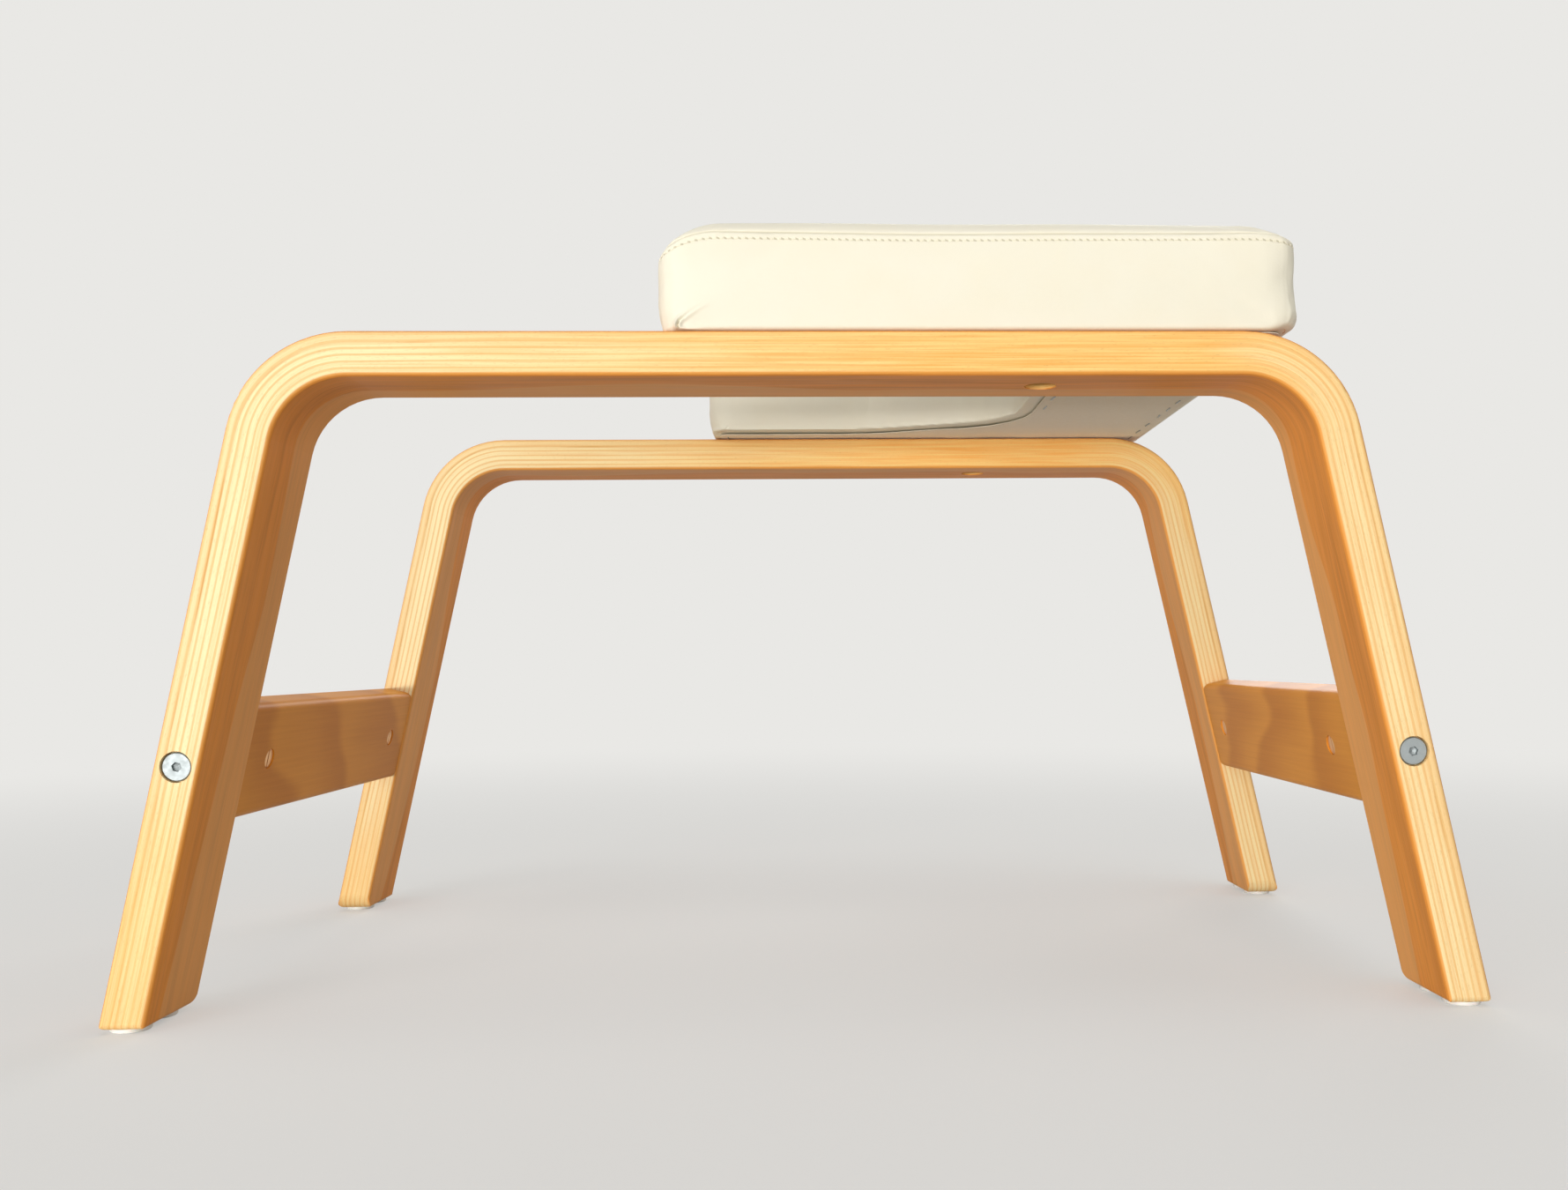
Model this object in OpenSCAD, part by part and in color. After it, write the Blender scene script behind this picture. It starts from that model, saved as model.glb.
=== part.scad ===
// Headstand stool. Two arches of bent laminated wood are tied by two crossbars and carry a
// U-shaped cushion. The head hangs in the notch of the U, the shoulders bear on its arms.
// Millimetres, +Z up, +X towards the closed end of the cushion. The origin is on the floor,
// under the middle of the feet.

/* [Stool] */
// Width over the two side frames
stool_w = 344; // [300:1:400]

/* [Side frames] */
// Length of the straight part of each rail, between its bends
rail_flat = 400; // [360:1:460]
// Height of a side frame, from the leg ends to the top of the rail
frame_h = 308; // [280:1:340]
// Lean of each leg from upright, in degrees
leg_lean = 13; // [9:0.5:16]
// Thickness of the laminate
ply_t = 20; // [18:0.5:24]
// Width of the laminate
rail_w = 52; // [44:1:60]
// Inside radius of the two bends
bend_r = 35; // [25:1:45]
// Rounding of the long edges
edge_r = 2.5; // [1:0.5:4]
// Rounding of each leg end on the side towards the other frame
foot_inner_r = 10; // [5:1:14]
// Rounding of the other corners of each leg end
foot_outer_r = 3; // [1:0.5:4]

/* [Crossbars] */
// Height of the crossbar bolts above the leg ends
bar_z = 116.5; // [90:0.5:150]
// Height of a crossbar, measured along the legs
bar_h = 57; // [50:1:70]
// How far a crossbar's faces lie inside the faces of the leg
bar_setback = 1; // [0.5:0.5:2]
// Rounding of a crossbar's long edges
bar_edge_r = 4; // [2:0.5:6]
// Rounding of a crossbar's corners
bar_corner_r = 5; // [2:0.5:8]

/* [Fasteners] */
// Thread diameter of all bolts
bolt_d = 6; // [5:0.5:7]
// Bolt hole diameter
bolt_hole_d = 7; // [7:0.1:8]
// Head diameter of the flat-head bolts
head_d = 13; // [11:0.5:14]
// Head thickness
head_t = 2.5; // [2:0.1:3.5]
// Width of the hexagon socket across its flats
hex_af = 4; // [3:0.5:5]
// Depth of the hexagon socket
hex_depth = 1.8; // [1:0.1:2]
// Counterbore diameter for the crossbar bolts
side_cbore_d = 14; // [14:0.5:15.5]
// Counterbore depth for the crossbar bolts
side_cbore_depth = 3.5; // [3:0.5:6]
// Distance of the barrel nut from the crossbar's end
nut_inset = 27; // [24:1:34]
// Barrel nut diameter
nut_d = 10; // [9.5:0.5:12]
// How far the barrel nut's slotted end lies under the crossbar's face
nut_recess = 0.8; // [0.5:0.1:2]
// How far the barrel nut runs past the bolt's axis
nut_tail = 6.5; // [5:0.5:7]
// How far the crossbar bolt runs past the axis of its barrel nut
bolt_past_nut = 4.5; // [3:0.5:6]
// Dowel diameter
dowel_d = 8; // [6:0.5:9]
// Dowel length
dowel_len = 30; // [24:1:36]
// Depth of the dowel holes in the legs
dowel_leg_depth = 11; // [9:0.5:13]
// Distance of each dowel from the bolt, along the leg
dowel_pitch = 17; // [16:0.5:19]
// Counterbore diameter for the cushion bolts
rail_cbore_d = 15; // [14.5:0.5:18]
// Counterbore depth for the cushion bolts
rail_cbore_depth = 8; // [5:0.5:11]
// Tee nut flange diameter
tee_flange_d = 19; // [17:0.5:22]
// Tee nut flange thickness
tee_flange_t = 1.4; // [1:0.1:1.8]
// Tee nut barrel diameter
tee_barrel_d = 8.6; // [8.4:0.1:10]

/* [Glides] */
// Glide diameter
glide_d = 17; // [12:0.5:18]
// Glide thickness
glide_t = 2; // [1.5:0.1:4]
// Distance of the outer glide's middle from the outer face of the frame
glide_outer_y = 10.5; // [10:0.5:14]
// Distance of the inner glide's middle from the inner face of the frame
glide_inner_y = 17.5; // [14:0.5:20]

/* [Cushion] */
// Length of the cushion
cushion_len = 294; // [260:1:330]
// How far the closed end runs out over the bend of the rails
cushion_overhang = 28; // [10:1:34]
// Width of each arm
arm_w = 72.5; // [66:0.5:80]
// Length from the closed end to the bottom of the notch
bridge_len = 101; // [85:1:115]
// Length of the tapered part of the notch
taper_len = 89; // [75:1:110]
// Slant of the notch's sides along the tapered part, in degrees
notch_taper = 20; // [12:1:24]
// Radius of the two corners at the bottom of the notch
notch_end_r = 45; // [30:1:50]
// Radius where the taper of the notch starts
notch_start_r = 70; // [30:1:90]
// Plan radius of the cushion's other corners
cushion_corner_r = 14; // [8:1:18]
// Height of the seam above the rails
seam_h = 43; // [36:1:55]
// Rise of the crown above the seam
crown_h = 14; // [7:1:21]
// Width over which the crown rises
crown_run = 30; // [22:1:31]
// How far the sides pull in between the corners
side_draw = 2.5; // [0.5:0.5:5]
// How far the border draws in between its bottom edge and the seam
side_waist = 1.5; // [0:0.5:3]
// How far the seam lies inside the widest line of the border
seam_tuck = 1.2; // [0.5:0.1:2]
// Fall of the seam and the crown at the tips of the arms
tip_drop = 7; // [0:0.5:9]
// Distance of the cushion bolts from the closed end
cushion_bolt_inset = 117; // [90:1:145]
// Thickness of the cover
cover_t = 1.2; // [0.8:0.1:2]
// Width of the hem that the border turns in under the board
hem_w = 16; // [12:1:20]
// Thickness of the lining
lining_t = 1; // [0.6:0.1:1.5]
// Distance of the lining's edge from the edge of the cushion
lining_inset = 8; // [6:0.5:11]
// Thickness of the board
board_t = 12; // [12:0.5:18]
// Distance of the board's edge from the edge of the cushion
board_inset = 5; // [4:0.5:8]

/* [Hidden] */
$fn = 64;

near = 1;
far = -1;
right = 1;
left = -1;
upper = 1;
lower = -1;

// Radial clearance of a pin, nut or bolt in its hole
fit = 0.1;
// Clearance of the foam in its cover
soft_fit = 0.3;
// Space past the end of a dowel or bolt in a blind hole
end_gap = 0.5;
// How far a cutting shape reaches past the face that it cuts
cut = 1;
// A leg reaches this far into its bend, which makes them one piece
leg_lap = 0.5;
// It lies this far under the faces of the bend there
leg_under = 0.01;

// Heights
foot_z = glide_t;
rail_top = foot_z + frame_h;
hem_z = rail_top + lining_t;
board_z = hem_z + cover_t;
board_top = board_z + board_t;
seam_z = rail_top + seam_h;

// The bends: outside radius, and the centre of the right one
bend_out = bend_r + ply_t;
bend_z = rail_top - bend_out;
bend_x = rail_flat / 2;
// Length over the leg ends, before their corners are rounded
frame_span = 2 * bend_x + 2 * (bend_out + (bend_z - foot_z) * sin(leg_lean)) / cos(leg_lean);
// A leg is made longer than it stands and is cut off level with the floor
leg_len = (bend_z - foot_z + bend_out * sin(leg_lean)) / cos(leg_lean) + ply_t;

// Crossbars
bar_t = ply_t - 2 * bar_setback;
bar_len = stool_w - 2 * rail_w;
nut_len = bar_t / 2 - nut_recess + nut_tail;
dowel_bar_depth = dowel_len - (dowel_leg_depth - end_gap) + end_gap;
side_bolt_len = rail_w - side_cbore_depth + nut_inset + bolt_past_nut;

// Distances of the two glides of a foot from the outer face of the frame
outer_glide = glide_outer_y;
inner_glide = rail_w - glide_inner_y;

// Cushion outline
closed_x = bend_x + cushion_overhang;
open_x = closed_x - cushion_len;
notch_end_x = closed_x - bridge_len;
notch_start_x = notch_end_x - taper_len;
notch_half = stool_w / 2 - arm_w;
notch_end_half = notch_half - taper_len * tan(notch_taper);
cushion_bolt_x = closed_x - cushion_bolt_inset;
// Smallest corner radius of the inner rings of the crown
ring_min_r = 1.5;
// A side shorter than this pulls in less
draw_ref = 200;
// Steps of the border's roll under the board, of its side, and of the crown
roll_steps = 3;
side_steps = 4;
crown_steps = 5;
// The crown rises as this power of the distance from the seam
crown_power = 0.55;
// Length of the arms' tips over which the seam falls
tip_run = crown_run;

// Corners of the outline, counterclockwise from the near arm's tip: place, radius, steps of
// its arc, and extra points along the side that follows it. The first four are outside and
// the rest in the notch, and both lots come to the same number of points.
function outline() = [
    [[open_x, -stool_w / 2], cushion_corner_r, 3, 6],
    [[closed_x, -stool_w / 2], cushion_corner_r, 3, 6],
    [[closed_x, stool_w / 2], cushion_corner_r, 3, 6],
    [[open_x, stool_w / 2], cushion_corner_r, 3, 0],
    [[open_x, notch_half], cushion_corner_r, 3, 2],
    [[notch_start_x, notch_half], notch_start_r, 2, 2],
    [[notch_end_x, notch_end_half], notch_end_r, 4, 2],
    [[notch_end_x, -notch_end_half], notch_end_r, 4, 2],
    [[notch_start_x, -notch_half], notch_start_r, 2, 2],
    [[open_x, -notch_half], cushion_corner_r, 3, 0],
];

function unit(v) = v / norm(v);
function left_of(v) = [-v.y, v.x];
function at(list, i) = list[(i + len(list)) % len(list)];

// The arc of corner i, moved inwards by inset
function corner_arc(i, inset) =
    let (
        c = outline(),
        e1 = unit(at(c, i)[0] - at(c, i - 1)[0]),
        e2 = unit(at(c, i + 1)[0] - at(c, i)[0]),
        n1 = left_of(e1),
        n2 = left_of(e2),
        turn = atan2(cross(e1, e2), e1 * e2),
        way = sign(turn),
        r = max(c[i][1] - way * inset, ring_min_r),
        v = c[i][0] + inset * (n1 + n2) / (1 + n1 * n2),
        middle = v - r * tan(abs(turn) / 2) * e1 + way * r * n1,
        start = atan2(n1.y, n1.x),
        steps = c[i][2]
    )
    [for (k = [0 : steps]) let (a = start + turn * k / steps) middle - way * r * [cos(a), sin(a)]];

// One closed line round the cushion, inset from its outline, with its sides drawn in
function ring(inset, draw = 0) =
    let (c = outline(), arcs = [for (i = [0 : len(c) - 1]) corner_arc(i, inset)])
    [for (i = [0 : len(c) - 1])
        let (
            a = arcs[i][len(arcs[i]) - 1],
            b = at(arcs, i + 1)[0],
            n = left_of(unit(b - a)),
            pull = draw * min(1, norm(b - a) / draw_ref),
            extra = c[i][3]
        )
        each concat(
            arcs[i],
            [for (k = [1 : extra])
                let (s = k / (extra + 1))
                a + s * (b - a) + 4 * s * (1 - s) * pull * n]
        )];

// How far the tips of the arms fall at x
function tip_fall(x) = tip_drop * pow(max(0, 1 - (x - open_x) / tip_run), 2);
// How much of the fall and of the draw acts at height z
function share(z) = min(1, max(0, (z - board_top) / (seam_z - board_top)));

// The rings of a profile, each given as [inset, height, draw], as points in space
function rings(profile) =
    [for (p = profile) each [for (q = ring(p[0], p[2])) [q.x, q.y, p[1] - share(p[1]) * tip_fall(q.x)]]];

// A solid whose skin runs through the rings. A closed profile comes back to its first ring,
// and an open one is capped at both ends by a strip of faces from its outside to its notch.
module loft(profile, closed = false) {
    n = len(ring(0));
    last = len(profile) - 1;
    bands = closed ? last : last - 1;
    skin = [for (j = [0 : bands]) for (i = [0 : n - 1])
        let (a = j * n + i, b = j * n + (i + 1) % n, up = ((j + 1) % (last + 1)) * n)
        each [[a, up + i, b], [b, up + i, up + (i + 1) % n]]];
    strip = [for (k = [0 : n / 2 - 2]) each [[k, k + 1, n - 1 - k], [k + 1, n - 2 - k, n - 1 - k]]];
    caps = closed ? [] : concat(strip, [for (f = strip) [for (i = reversed(f)) last * n + i]]);
    polyhedron(rings(profile), concat(skin, caps), convexity = 8);
}

// Profiles of the outside of the cover, from its hem to the seam and from the seam inwards
function border_profile() = concat(
    [[hem_w, hem_z, 0]],
    [for (k = [0 : roll_steps])
        let (a = 90 * k / roll_steps)
        [board_inset * (1 - sin(a)), hem_z + board_inset * (1 - cos(a)), 0]],
    [for (k = [1 : side_steps - 1])
        let (s = k / side_steps, low = hem_z + board_inset)
        [side_waist * sin(180 * s), low + s * (seam_z - low), side_draw * sin(90 * s)]],
    [[seam_tuck, seam_z, side_draw]]
);
function crown_profile() =
    [for (k = [0 : crown_steps])
        let (s = pow(k / crown_steps, 2), rise = crown_h * pow(s, crown_power))
        [seam_tuck + s * (crown_run - seam_tuck), seam_z + rise, side_draw * (1 - s)]];

// A profile moved square to itself by t, into the cushion. Its ends on the seam stay level.
function shifted(profile, t) =
    [for (k = [0 : len(profile) - 1])
        let (
            p = profile[k],
            before = profile[max(k - 1, 0)],
            after = profile[min(k + 1, len(profile) - 1)],
            e = unit([after[0] - before[0], after[1] - before[1]]),
            n = p[1] == seam_z ? [1, 0] : [e.y, -e.x]
        )
        [p[0] + t * n.x, p[1] + t * n.y, p[2]]];
function reversed(list) = [for (i = [len(list) - 1 : -1 : 0]) list[i]];

// A rectangle with rounded corners, about its middle
module rounded_rect(w, h, r) {
    square([w - 2 * r, h], center = true);
    square([w, h - 2 * r], center = true);
    for (x = [-1, 1], y = [-1, 1])
        translate([x * (w / 2 - r), y * (h / 2 - r)]) circle(r);
}

// What rounding takes off a corner at v, whose sides leave it at angles a1 and a2
module corner_waste(v, a1, a2, r) {
    middle = (a1 + a2) / 2;
    half = (a2 - a1) / 2;
    c = v + r / sin(half) * [cos(middle), sin(middle)];
    t1 = v + r / tan(half) * [cos(a1), sin(a1)];
    t2 = v + r / tan(half) * [cos(a2), sin(a2)];
    out1 = cut * [cos(a1 - 90), sin(a1 - 90)];
    out2 = cut * [cos(a2 + 90), sin(a2 + 90)];
    difference() {
        polygon([c, t1, t1 + out1, v + out1 + out2, t2 + out2, t2]);
        translate(c) circle(r);
    }
}

// Distance of a leg's middle line from the middle of the stool, h above the leg ends
function leg_x(h) = frame_span / 2 - ply_t / 2 / cos(leg_lean) - h * tan(leg_lean);

// A side frame is drawn flat: X along the rail, Y up, and Z across the laminate, with its
// outer face at the top
module laminate_section(under = 0) {
    translate([bend_r + ply_t / 2, 0])
        rounded_rect(ply_t - 2 * under, rail_w - 2 * under, edge_r - under);
}

module arch() {
    translate([-bend_x, bend_z, 0]) rotate([90, 0, 90]) linear_extrude(rail_flat) laminate_section();
    for (end = [left, right])
        mirror([1 - end, 0, 0])
            translate([bend_x, bend_z, 0]) {
                rotate_extrude(angle = 90 - leg_lean, start = leg_lean) laminate_section();
                rotate([90, 0, leg_lean]) translate([0, 0, -leg_lap])
                    linear_extrude(leg_lap + leg_len) laminate_section(leg_under);
            }
}

module leg_end_waste() {
    heel = [frame_span / 2, foot_z];
    toe = heel - [ply_t / cos(leg_lean), 0];
    translate([-frame_span, foot_z - leg_len, -rail_w]) cube([2 * frame_span, leg_len, 2 * rail_w]);
    for (end = [left, right])
        mirror([1 - end, 0, 0])
            translate([0, 0, -rail_w]) linear_extrude(2 * rail_w) {
                corner_waste(heel, 90 + leg_lean, 180, foot_outer_r);
                corner_waste(toe, 0, 90 + leg_lean, foot_outer_r);
            }
    translate([-frame_span, 0, 0]) rotate([90, 0, 90]) linear_extrude(2 * frame_span) {
        corner_waste([foot_z, rail_w / 2], -90, 0, foot_outer_r);
        corner_waste([foot_z, -rail_w / 2], 0, 90, foot_inner_r);
    }
}

module leg_holes() {
    translate([leg_x(bar_z), foot_z + bar_z, 0]) rotate([0, 0, leg_lean]) {
        cylinder(d = bolt_hole_d, h = rail_w + 2 * cut, center = true);
        translate([0, 0, rail_w / 2 - side_cbore_depth])
            cylinder(d = side_cbore_d, h = side_cbore_depth + cut);
        for (y = [-dowel_pitch, dowel_pitch])
            translate([0, y, -rail_w / 2 - cut])
                cylinder(d = dowel_d + 2 * fit, h = dowel_leg_depth + cut);
    }
}

module rail_hole() {
    translate([cushion_bolt_x, rail_top + cut, 0]) rotate([90, 0, 0]) {
        cylinder(d = bolt_hole_d, h = ply_t + 2 * cut);
        translate([0, 0, cut + ply_t - rail_cbore_depth])
            cylinder(d = rail_cbore_d, h = rail_cbore_depth + cut);
    }
}

module side_frame(side) {
    color("#E6BE80")
        mirror([0, 1 - side, 0])
            translate([0, -(stool_w - rail_w) / 2, 0]) rotate([90, 0, 0])
                difference() {
                    arch();
                    leg_end_waste();
                    leg_holes();
                    mirror([1, 0, 0]) leg_holes();
                    rail_hole();
                }
}

// Carries its children to the bolted joint between a leg and its crossbar. There +X points
// out of the stool, +Z runs up the leg and -Y out through the leg, from the end of the bar.
module at_joint(side, end) {
    mirror([0, 1 - side, 0]) mirror([1 - end, 0, 0])
        translate([leg_x(bar_z), -bar_len / 2, foot_z + bar_z]) rotate([0, -leg_lean, 0]) children();
}

module bar_end_holes() {
    // Bolt hole, and the barrel nut's hole from the bar's inner face
    rotate([-90, 0, 0]) translate([0, 0, -cut])
        cylinder(d = bolt_hole_d, h = cut + nut_inset + bolt_past_nut + end_gap);
    translate([-bar_t / 2 - cut, nut_inset, 0]) rotate([0, 90, 0])
        cylinder(d = nut_d + 2 * fit, h = cut + bar_t / 2 + nut_tail + fit);
    for (z = [-dowel_pitch, dowel_pitch])
        translate([0, -cut, z]) rotate([-90, 0, 0])
            cylinder(d = dowel_d + 2 * fit, h = cut + dowel_bar_depth);
}

module crossbar(end) {
    color("#BD8A4E") difference() {
        mirror([1 - end, 0, 0])
            translate([leg_x(bar_z), 0, foot_z + bar_z]) rotate([0, -leg_lean, 0])
                intersection() {
                    rotate([90, 0, 0]) linear_extrude(bar_len, center = true)
                        rounded_rect(bar_t, bar_h, bar_edge_r);
                    rotate([90, 0, 90]) linear_extrude(bar_t + 2 * cut, center = true)
                        rounded_rect(bar_len, bar_h, bar_corner_r);
                }
        for (side = [near, far]) at_joint(side, end) bar_end_holes();
    }
}

// A flat-head bolt with a hexagon socket. Its head sits on Z = 0 and its shank points down.
module bolt(length) {
    rim = head_t / 5;
    tip = bolt_d / 8;
    drill_point = hex_af / 6;
    color("#C4C6C6") difference() {
        rotate_extrude() polygon([
            [0, -length], [bolt_d / 2 - tip, -length], [bolt_d / 2, -length + tip], [bolt_d / 2, 0],
            [head_d / 2, 0], [head_d / 2, head_t - rim], [head_d / 2 - rim, head_t], [0, head_t],
        ]);
        translate([0, 0, head_t - hex_depth]) {
            cylinder(d = hex_af / cos(30), h = hex_depth + cut, $fn = 6);
            translate([0, 0, -drill_point]) cylinder(d1 = 0, d2 = hex_af, h = drill_point);
        }
    }
}

module crossbar_bolt(side, end) {
    at_joint(side, end)
        translate([0, side_cbore_depth - rail_w, 0]) rotate([90, 0, 0]) bolt(side_bolt_len);
}

module barrel_nut(side, end) {
    slot_w = nut_d / 8;
    slot_depth = nut_d / 6;
    color("#B9BBBB") at_joint(side, end)
        translate([0, nut_inset, 0]) difference() {
            translate([nut_tail - nut_len, 0, 0]) rotate([0, 90, 0]) cylinder(d = nut_d, h = nut_len);
            rotate([90, 0, 0]) cylinder(d = bolt_d + 2 * fit, h = nut_d + cut, center = true);
            translate([nut_tail - nut_len - cut, -slot_w / 2, -nut_d])
                cube([cut + slot_depth, slot_w, 2 * nut_d]);
        }
}

module dowel(side, end, place) {
    bevel = dowel_d / 8;
    color("#DDBB88") at_joint(side, end)
        translate([0, end_gap - dowel_leg_depth, place * dowel_pitch]) rotate([-90, 0, 0])
            rotate_extrude() polygon([
                [0, 0], [dowel_d / 2 - bevel, 0], [dowel_d / 2, bevel],
                [dowel_d / 2, dowel_len - bevel], [dowel_d / 2 - bevel, dowel_len], [0, dowel_len],
            ]);
}

// Carries its children to a cushion bolt, on the top of the rail
module at_cushion_bolt(side) {
    translate([cushion_bolt_x, -side * (stool_w - rail_w) / 2, rail_top]) children();
}

module cushion_bolt(side) {
    length = ply_t - rail_cbore_depth + board_top - rail_top - end_gap;
    at_cushion_bolt(side) translate([0, 0, rail_cbore_depth - ply_t]) mirror([0, 0, 1]) bolt(length);
}

module tee_nut(side) {
    color("#B9BBBB") at_cushion_bolt(side) translate([0, 0, board_top - rail_top]) difference() {
        union() {
            translate([0, 0, -tee_flange_t]) cylinder(d = tee_flange_d, h = tee_flange_t);
            translate([0, 0, cover_t - board_t]) cylinder(d = tee_barrel_d, h = board_t - cover_t);
        }
        translate([0, 0, -board_t]) cylinder(d = bolt_d + 2 * fit, h = board_t + cut);
    }
}

module cushion_board() {
    color("#D9BC8C") difference() {
        translate([0, 0, board_z]) linear_extrude(board_t) polygon(ring(board_inset));
        for (side = [near, far]) at_cushion_bolt(side) {
            cylinder(d = tee_barrel_d + 2 * fit, h = board_top - rail_top + cut);
            translate([0, 0, board_top - rail_top - tee_flange_t])
                cylinder(d = tee_flange_d + 2 * fit, h = tee_flange_t + cut);
        }
    }
}

// Foam, with an edge that comes down round the board
module foam_pad() {
    skin = shifted(border_profile(), cover_t + soft_fit);
    sides = [for (k = [2 : len(skin) - 1]) skin[k]];
    top = shifted(crown_profile(), cover_t + soft_fit);
    color("#EFE3B4") loft(concat(
        [[board_inset - soft_fit, board_top, 0], [board_inset - soft_fit, sides[0][1], 0]],
        sides,
        [for (k = [1 : len(top) - 1]) top[k]]
    ));
}

module cover_top_panel() {
    outside = crown_profile();
    color("#F7F2E0") loft(concat(reversed(shifted(outside, cover_t)), outside));
}

module cover_border() {
    outside = border_profile();
    color("#F3EDD8") loft(concat(outside, reversed(shifted(outside, cover_t))), closed = true);
}

module underside_lining() {
    color("#D9CFBA") difference() {
        translate([0, 0, rail_top]) linear_extrude(lining_t) polygon(ring(lining_inset));
        for (side = [near, far])
            at_cushion_bolt(side) translate([0, 0, -cut]) cylinder(d = bolt_hole_d, h = lining_t + 2 * cut);
    }
}

module glide(side, end, y) {
    x = frame_span / 2 - ply_t / 2 / cos(leg_lean);
    lip = glide_t / 3;
    color("#F4F3EE") translate([end * x, side * (y - stool_w / 2), 0]) rotate_extrude() {
        translate([0, lip]) square([glide_d / 2, glide_t - lip]);
        square([glide_d / 2 - lip, glide_t]);
        intersection() {
            translate([glide_d / 2 - lip, lip]) circle(lip);
            square([glide_d / 2, glide_t]);
        }
    }
}

side_frame(near);  // near_side_frame
side_frame(far);  // far_side_frame
crossbar(left);  // left_crossbar
crossbar(right);  // right_crossbar
crossbar_bolt(near, left);  // bolt_near_left
crossbar_bolt(near, right);  // bolt_near_right
crossbar_bolt(far, left);  // bolt_far_left
crossbar_bolt(far, right);  // bolt_far_right
barrel_nut(near, left);  // barrel_nut_near_left
barrel_nut(near, right);  // barrel_nut_near_right
barrel_nut(far, left);  // barrel_nut_far_left
barrel_nut(far, right);  // barrel_nut_far_right
dowel(near, left, upper);  // dowel_near_left_upper
dowel(near, left, lower);  // dowel_near_left_lower
dowel(near, right, upper);  // dowel_near_right_upper
dowel(near, right, lower);  // dowel_near_right_lower
dowel(far, left, upper);  // dowel_far_left_upper
dowel(far, left, lower);  // dowel_far_left_lower
dowel(far, right, upper);  // dowel_far_right_upper
dowel(far, right, lower);  // dowel_far_right_lower
cushion_bolt(near);  // cushion_bolt_near
cushion_bolt(far);  // cushion_bolt_far
tee_nut(near);  // tee_nut_near
tee_nut(far);  // tee_nut_far
cushion_board();
foam_pad();
cover_top_panel();
cover_border();
underside_lining();
glide(near, left, outer_glide);  // glide_near_left_outer
glide(near, left, inner_glide);  // glide_near_left_inner
glide(near, right, outer_glide);  // glide_near_right_outer
glide(near, right, inner_glide);  // glide_near_right_inner
glide(far, left, outer_glide);  // glide_far_left_outer
glide(far, left, inner_glide);  // glide_far_left_inner
glide(far, right, outer_glide);  // glide_far_right_outer
glide(far, right, inner_glide);  // glide_far_right_inner
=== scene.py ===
"""Headstand stool: finishes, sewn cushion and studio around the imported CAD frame."""

import math

import bmesh
import bpy
from mathutils import Matrix, Vector, kdtree, noise


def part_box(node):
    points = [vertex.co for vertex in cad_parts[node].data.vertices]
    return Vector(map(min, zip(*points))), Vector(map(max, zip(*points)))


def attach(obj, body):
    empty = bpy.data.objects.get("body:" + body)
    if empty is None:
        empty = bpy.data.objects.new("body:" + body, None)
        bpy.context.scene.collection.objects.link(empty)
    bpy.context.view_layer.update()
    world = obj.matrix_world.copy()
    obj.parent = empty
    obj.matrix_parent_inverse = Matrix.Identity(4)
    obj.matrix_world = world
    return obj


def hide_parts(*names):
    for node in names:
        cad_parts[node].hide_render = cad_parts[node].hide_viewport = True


bl_info = {
    "name": "Headstand stool",
    "version": (1, 0, 0),
    "blender": (4, 5, 0),
    "location": "View3D > Sidebar > Stool",
    "description": "Dresses the bent laminated frame and makes its sewn cushion",
    "category": "Object",
}

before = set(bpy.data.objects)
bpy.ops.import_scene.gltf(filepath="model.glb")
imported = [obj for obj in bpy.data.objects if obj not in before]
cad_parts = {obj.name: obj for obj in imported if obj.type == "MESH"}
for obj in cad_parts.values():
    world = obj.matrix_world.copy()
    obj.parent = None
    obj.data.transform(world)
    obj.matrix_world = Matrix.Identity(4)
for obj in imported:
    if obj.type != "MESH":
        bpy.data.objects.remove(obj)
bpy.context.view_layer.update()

MM = 0.001

# Side frames: the centre of a bend, its outer radius, the laminate's thickness and width, a leg's lean.
BEND_X, BEND_Z = 200 * MM, 255 * MM
OUTER_R, PLY_STACK, FRAME_W = 55 * MM, 20 * MM, 52 * MM
LEAN = math.radians(13)

# Fixings: the arch bolts' axes, which run front to back.
BOLT_X, BOLT_Z = 277.7 * MM, 118.5 * MM

# Cushion: its outline in plan, the heights of its edges, and how it dips at the arm tips.
TIP_X, NOTCH_END_X, CLOSED_X = -66 * MM, 127 * MM, 228 * MM
SIDE_Y, ARM_Y = 172 * MM, 99.5 * MM
CORNER_R = 14 * MM
RAIL_TOP_Z, HEM_Z = 310 * MM, 311 * MM
BOARD_TOP_Z = 324.2 * MM
SEAM_Z, SEWN_Z = 353 * MM, 355 * MM
TIP_RUN, TIP_DROP = 30 * MM, 7 * MM

# Cuts round the sewn edge and the stitch row, in millimetres above them.
SEAM_CUTS = (2.2, 1.4, 0.7, 0.3, 0, -0.3, -0.7, -1.4, -2.2)
ROW_CUTS = (0.9, 0.4, 0, -0.4, -0.9, -1.8)

# Stitches and staples: the thread's width, thickness and slant, and a staple's length, width and height.
THREAD_W, THREAD_T, SLANT = 0.72 * MM, 0.64 * MM, math.radians(9)
STAPLE = (10 * MM, 0.8 * MM, 0.45 * MM)

# Lining: its thickness and grid, how far its edge lies inside the cushion's, and the staples inside that.
LINING_T, LINING_GRID, LINING_IN, STAPLE_IN = 0.35 * MM, 5 * MM, 8 * MM, 5 * MM

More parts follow.
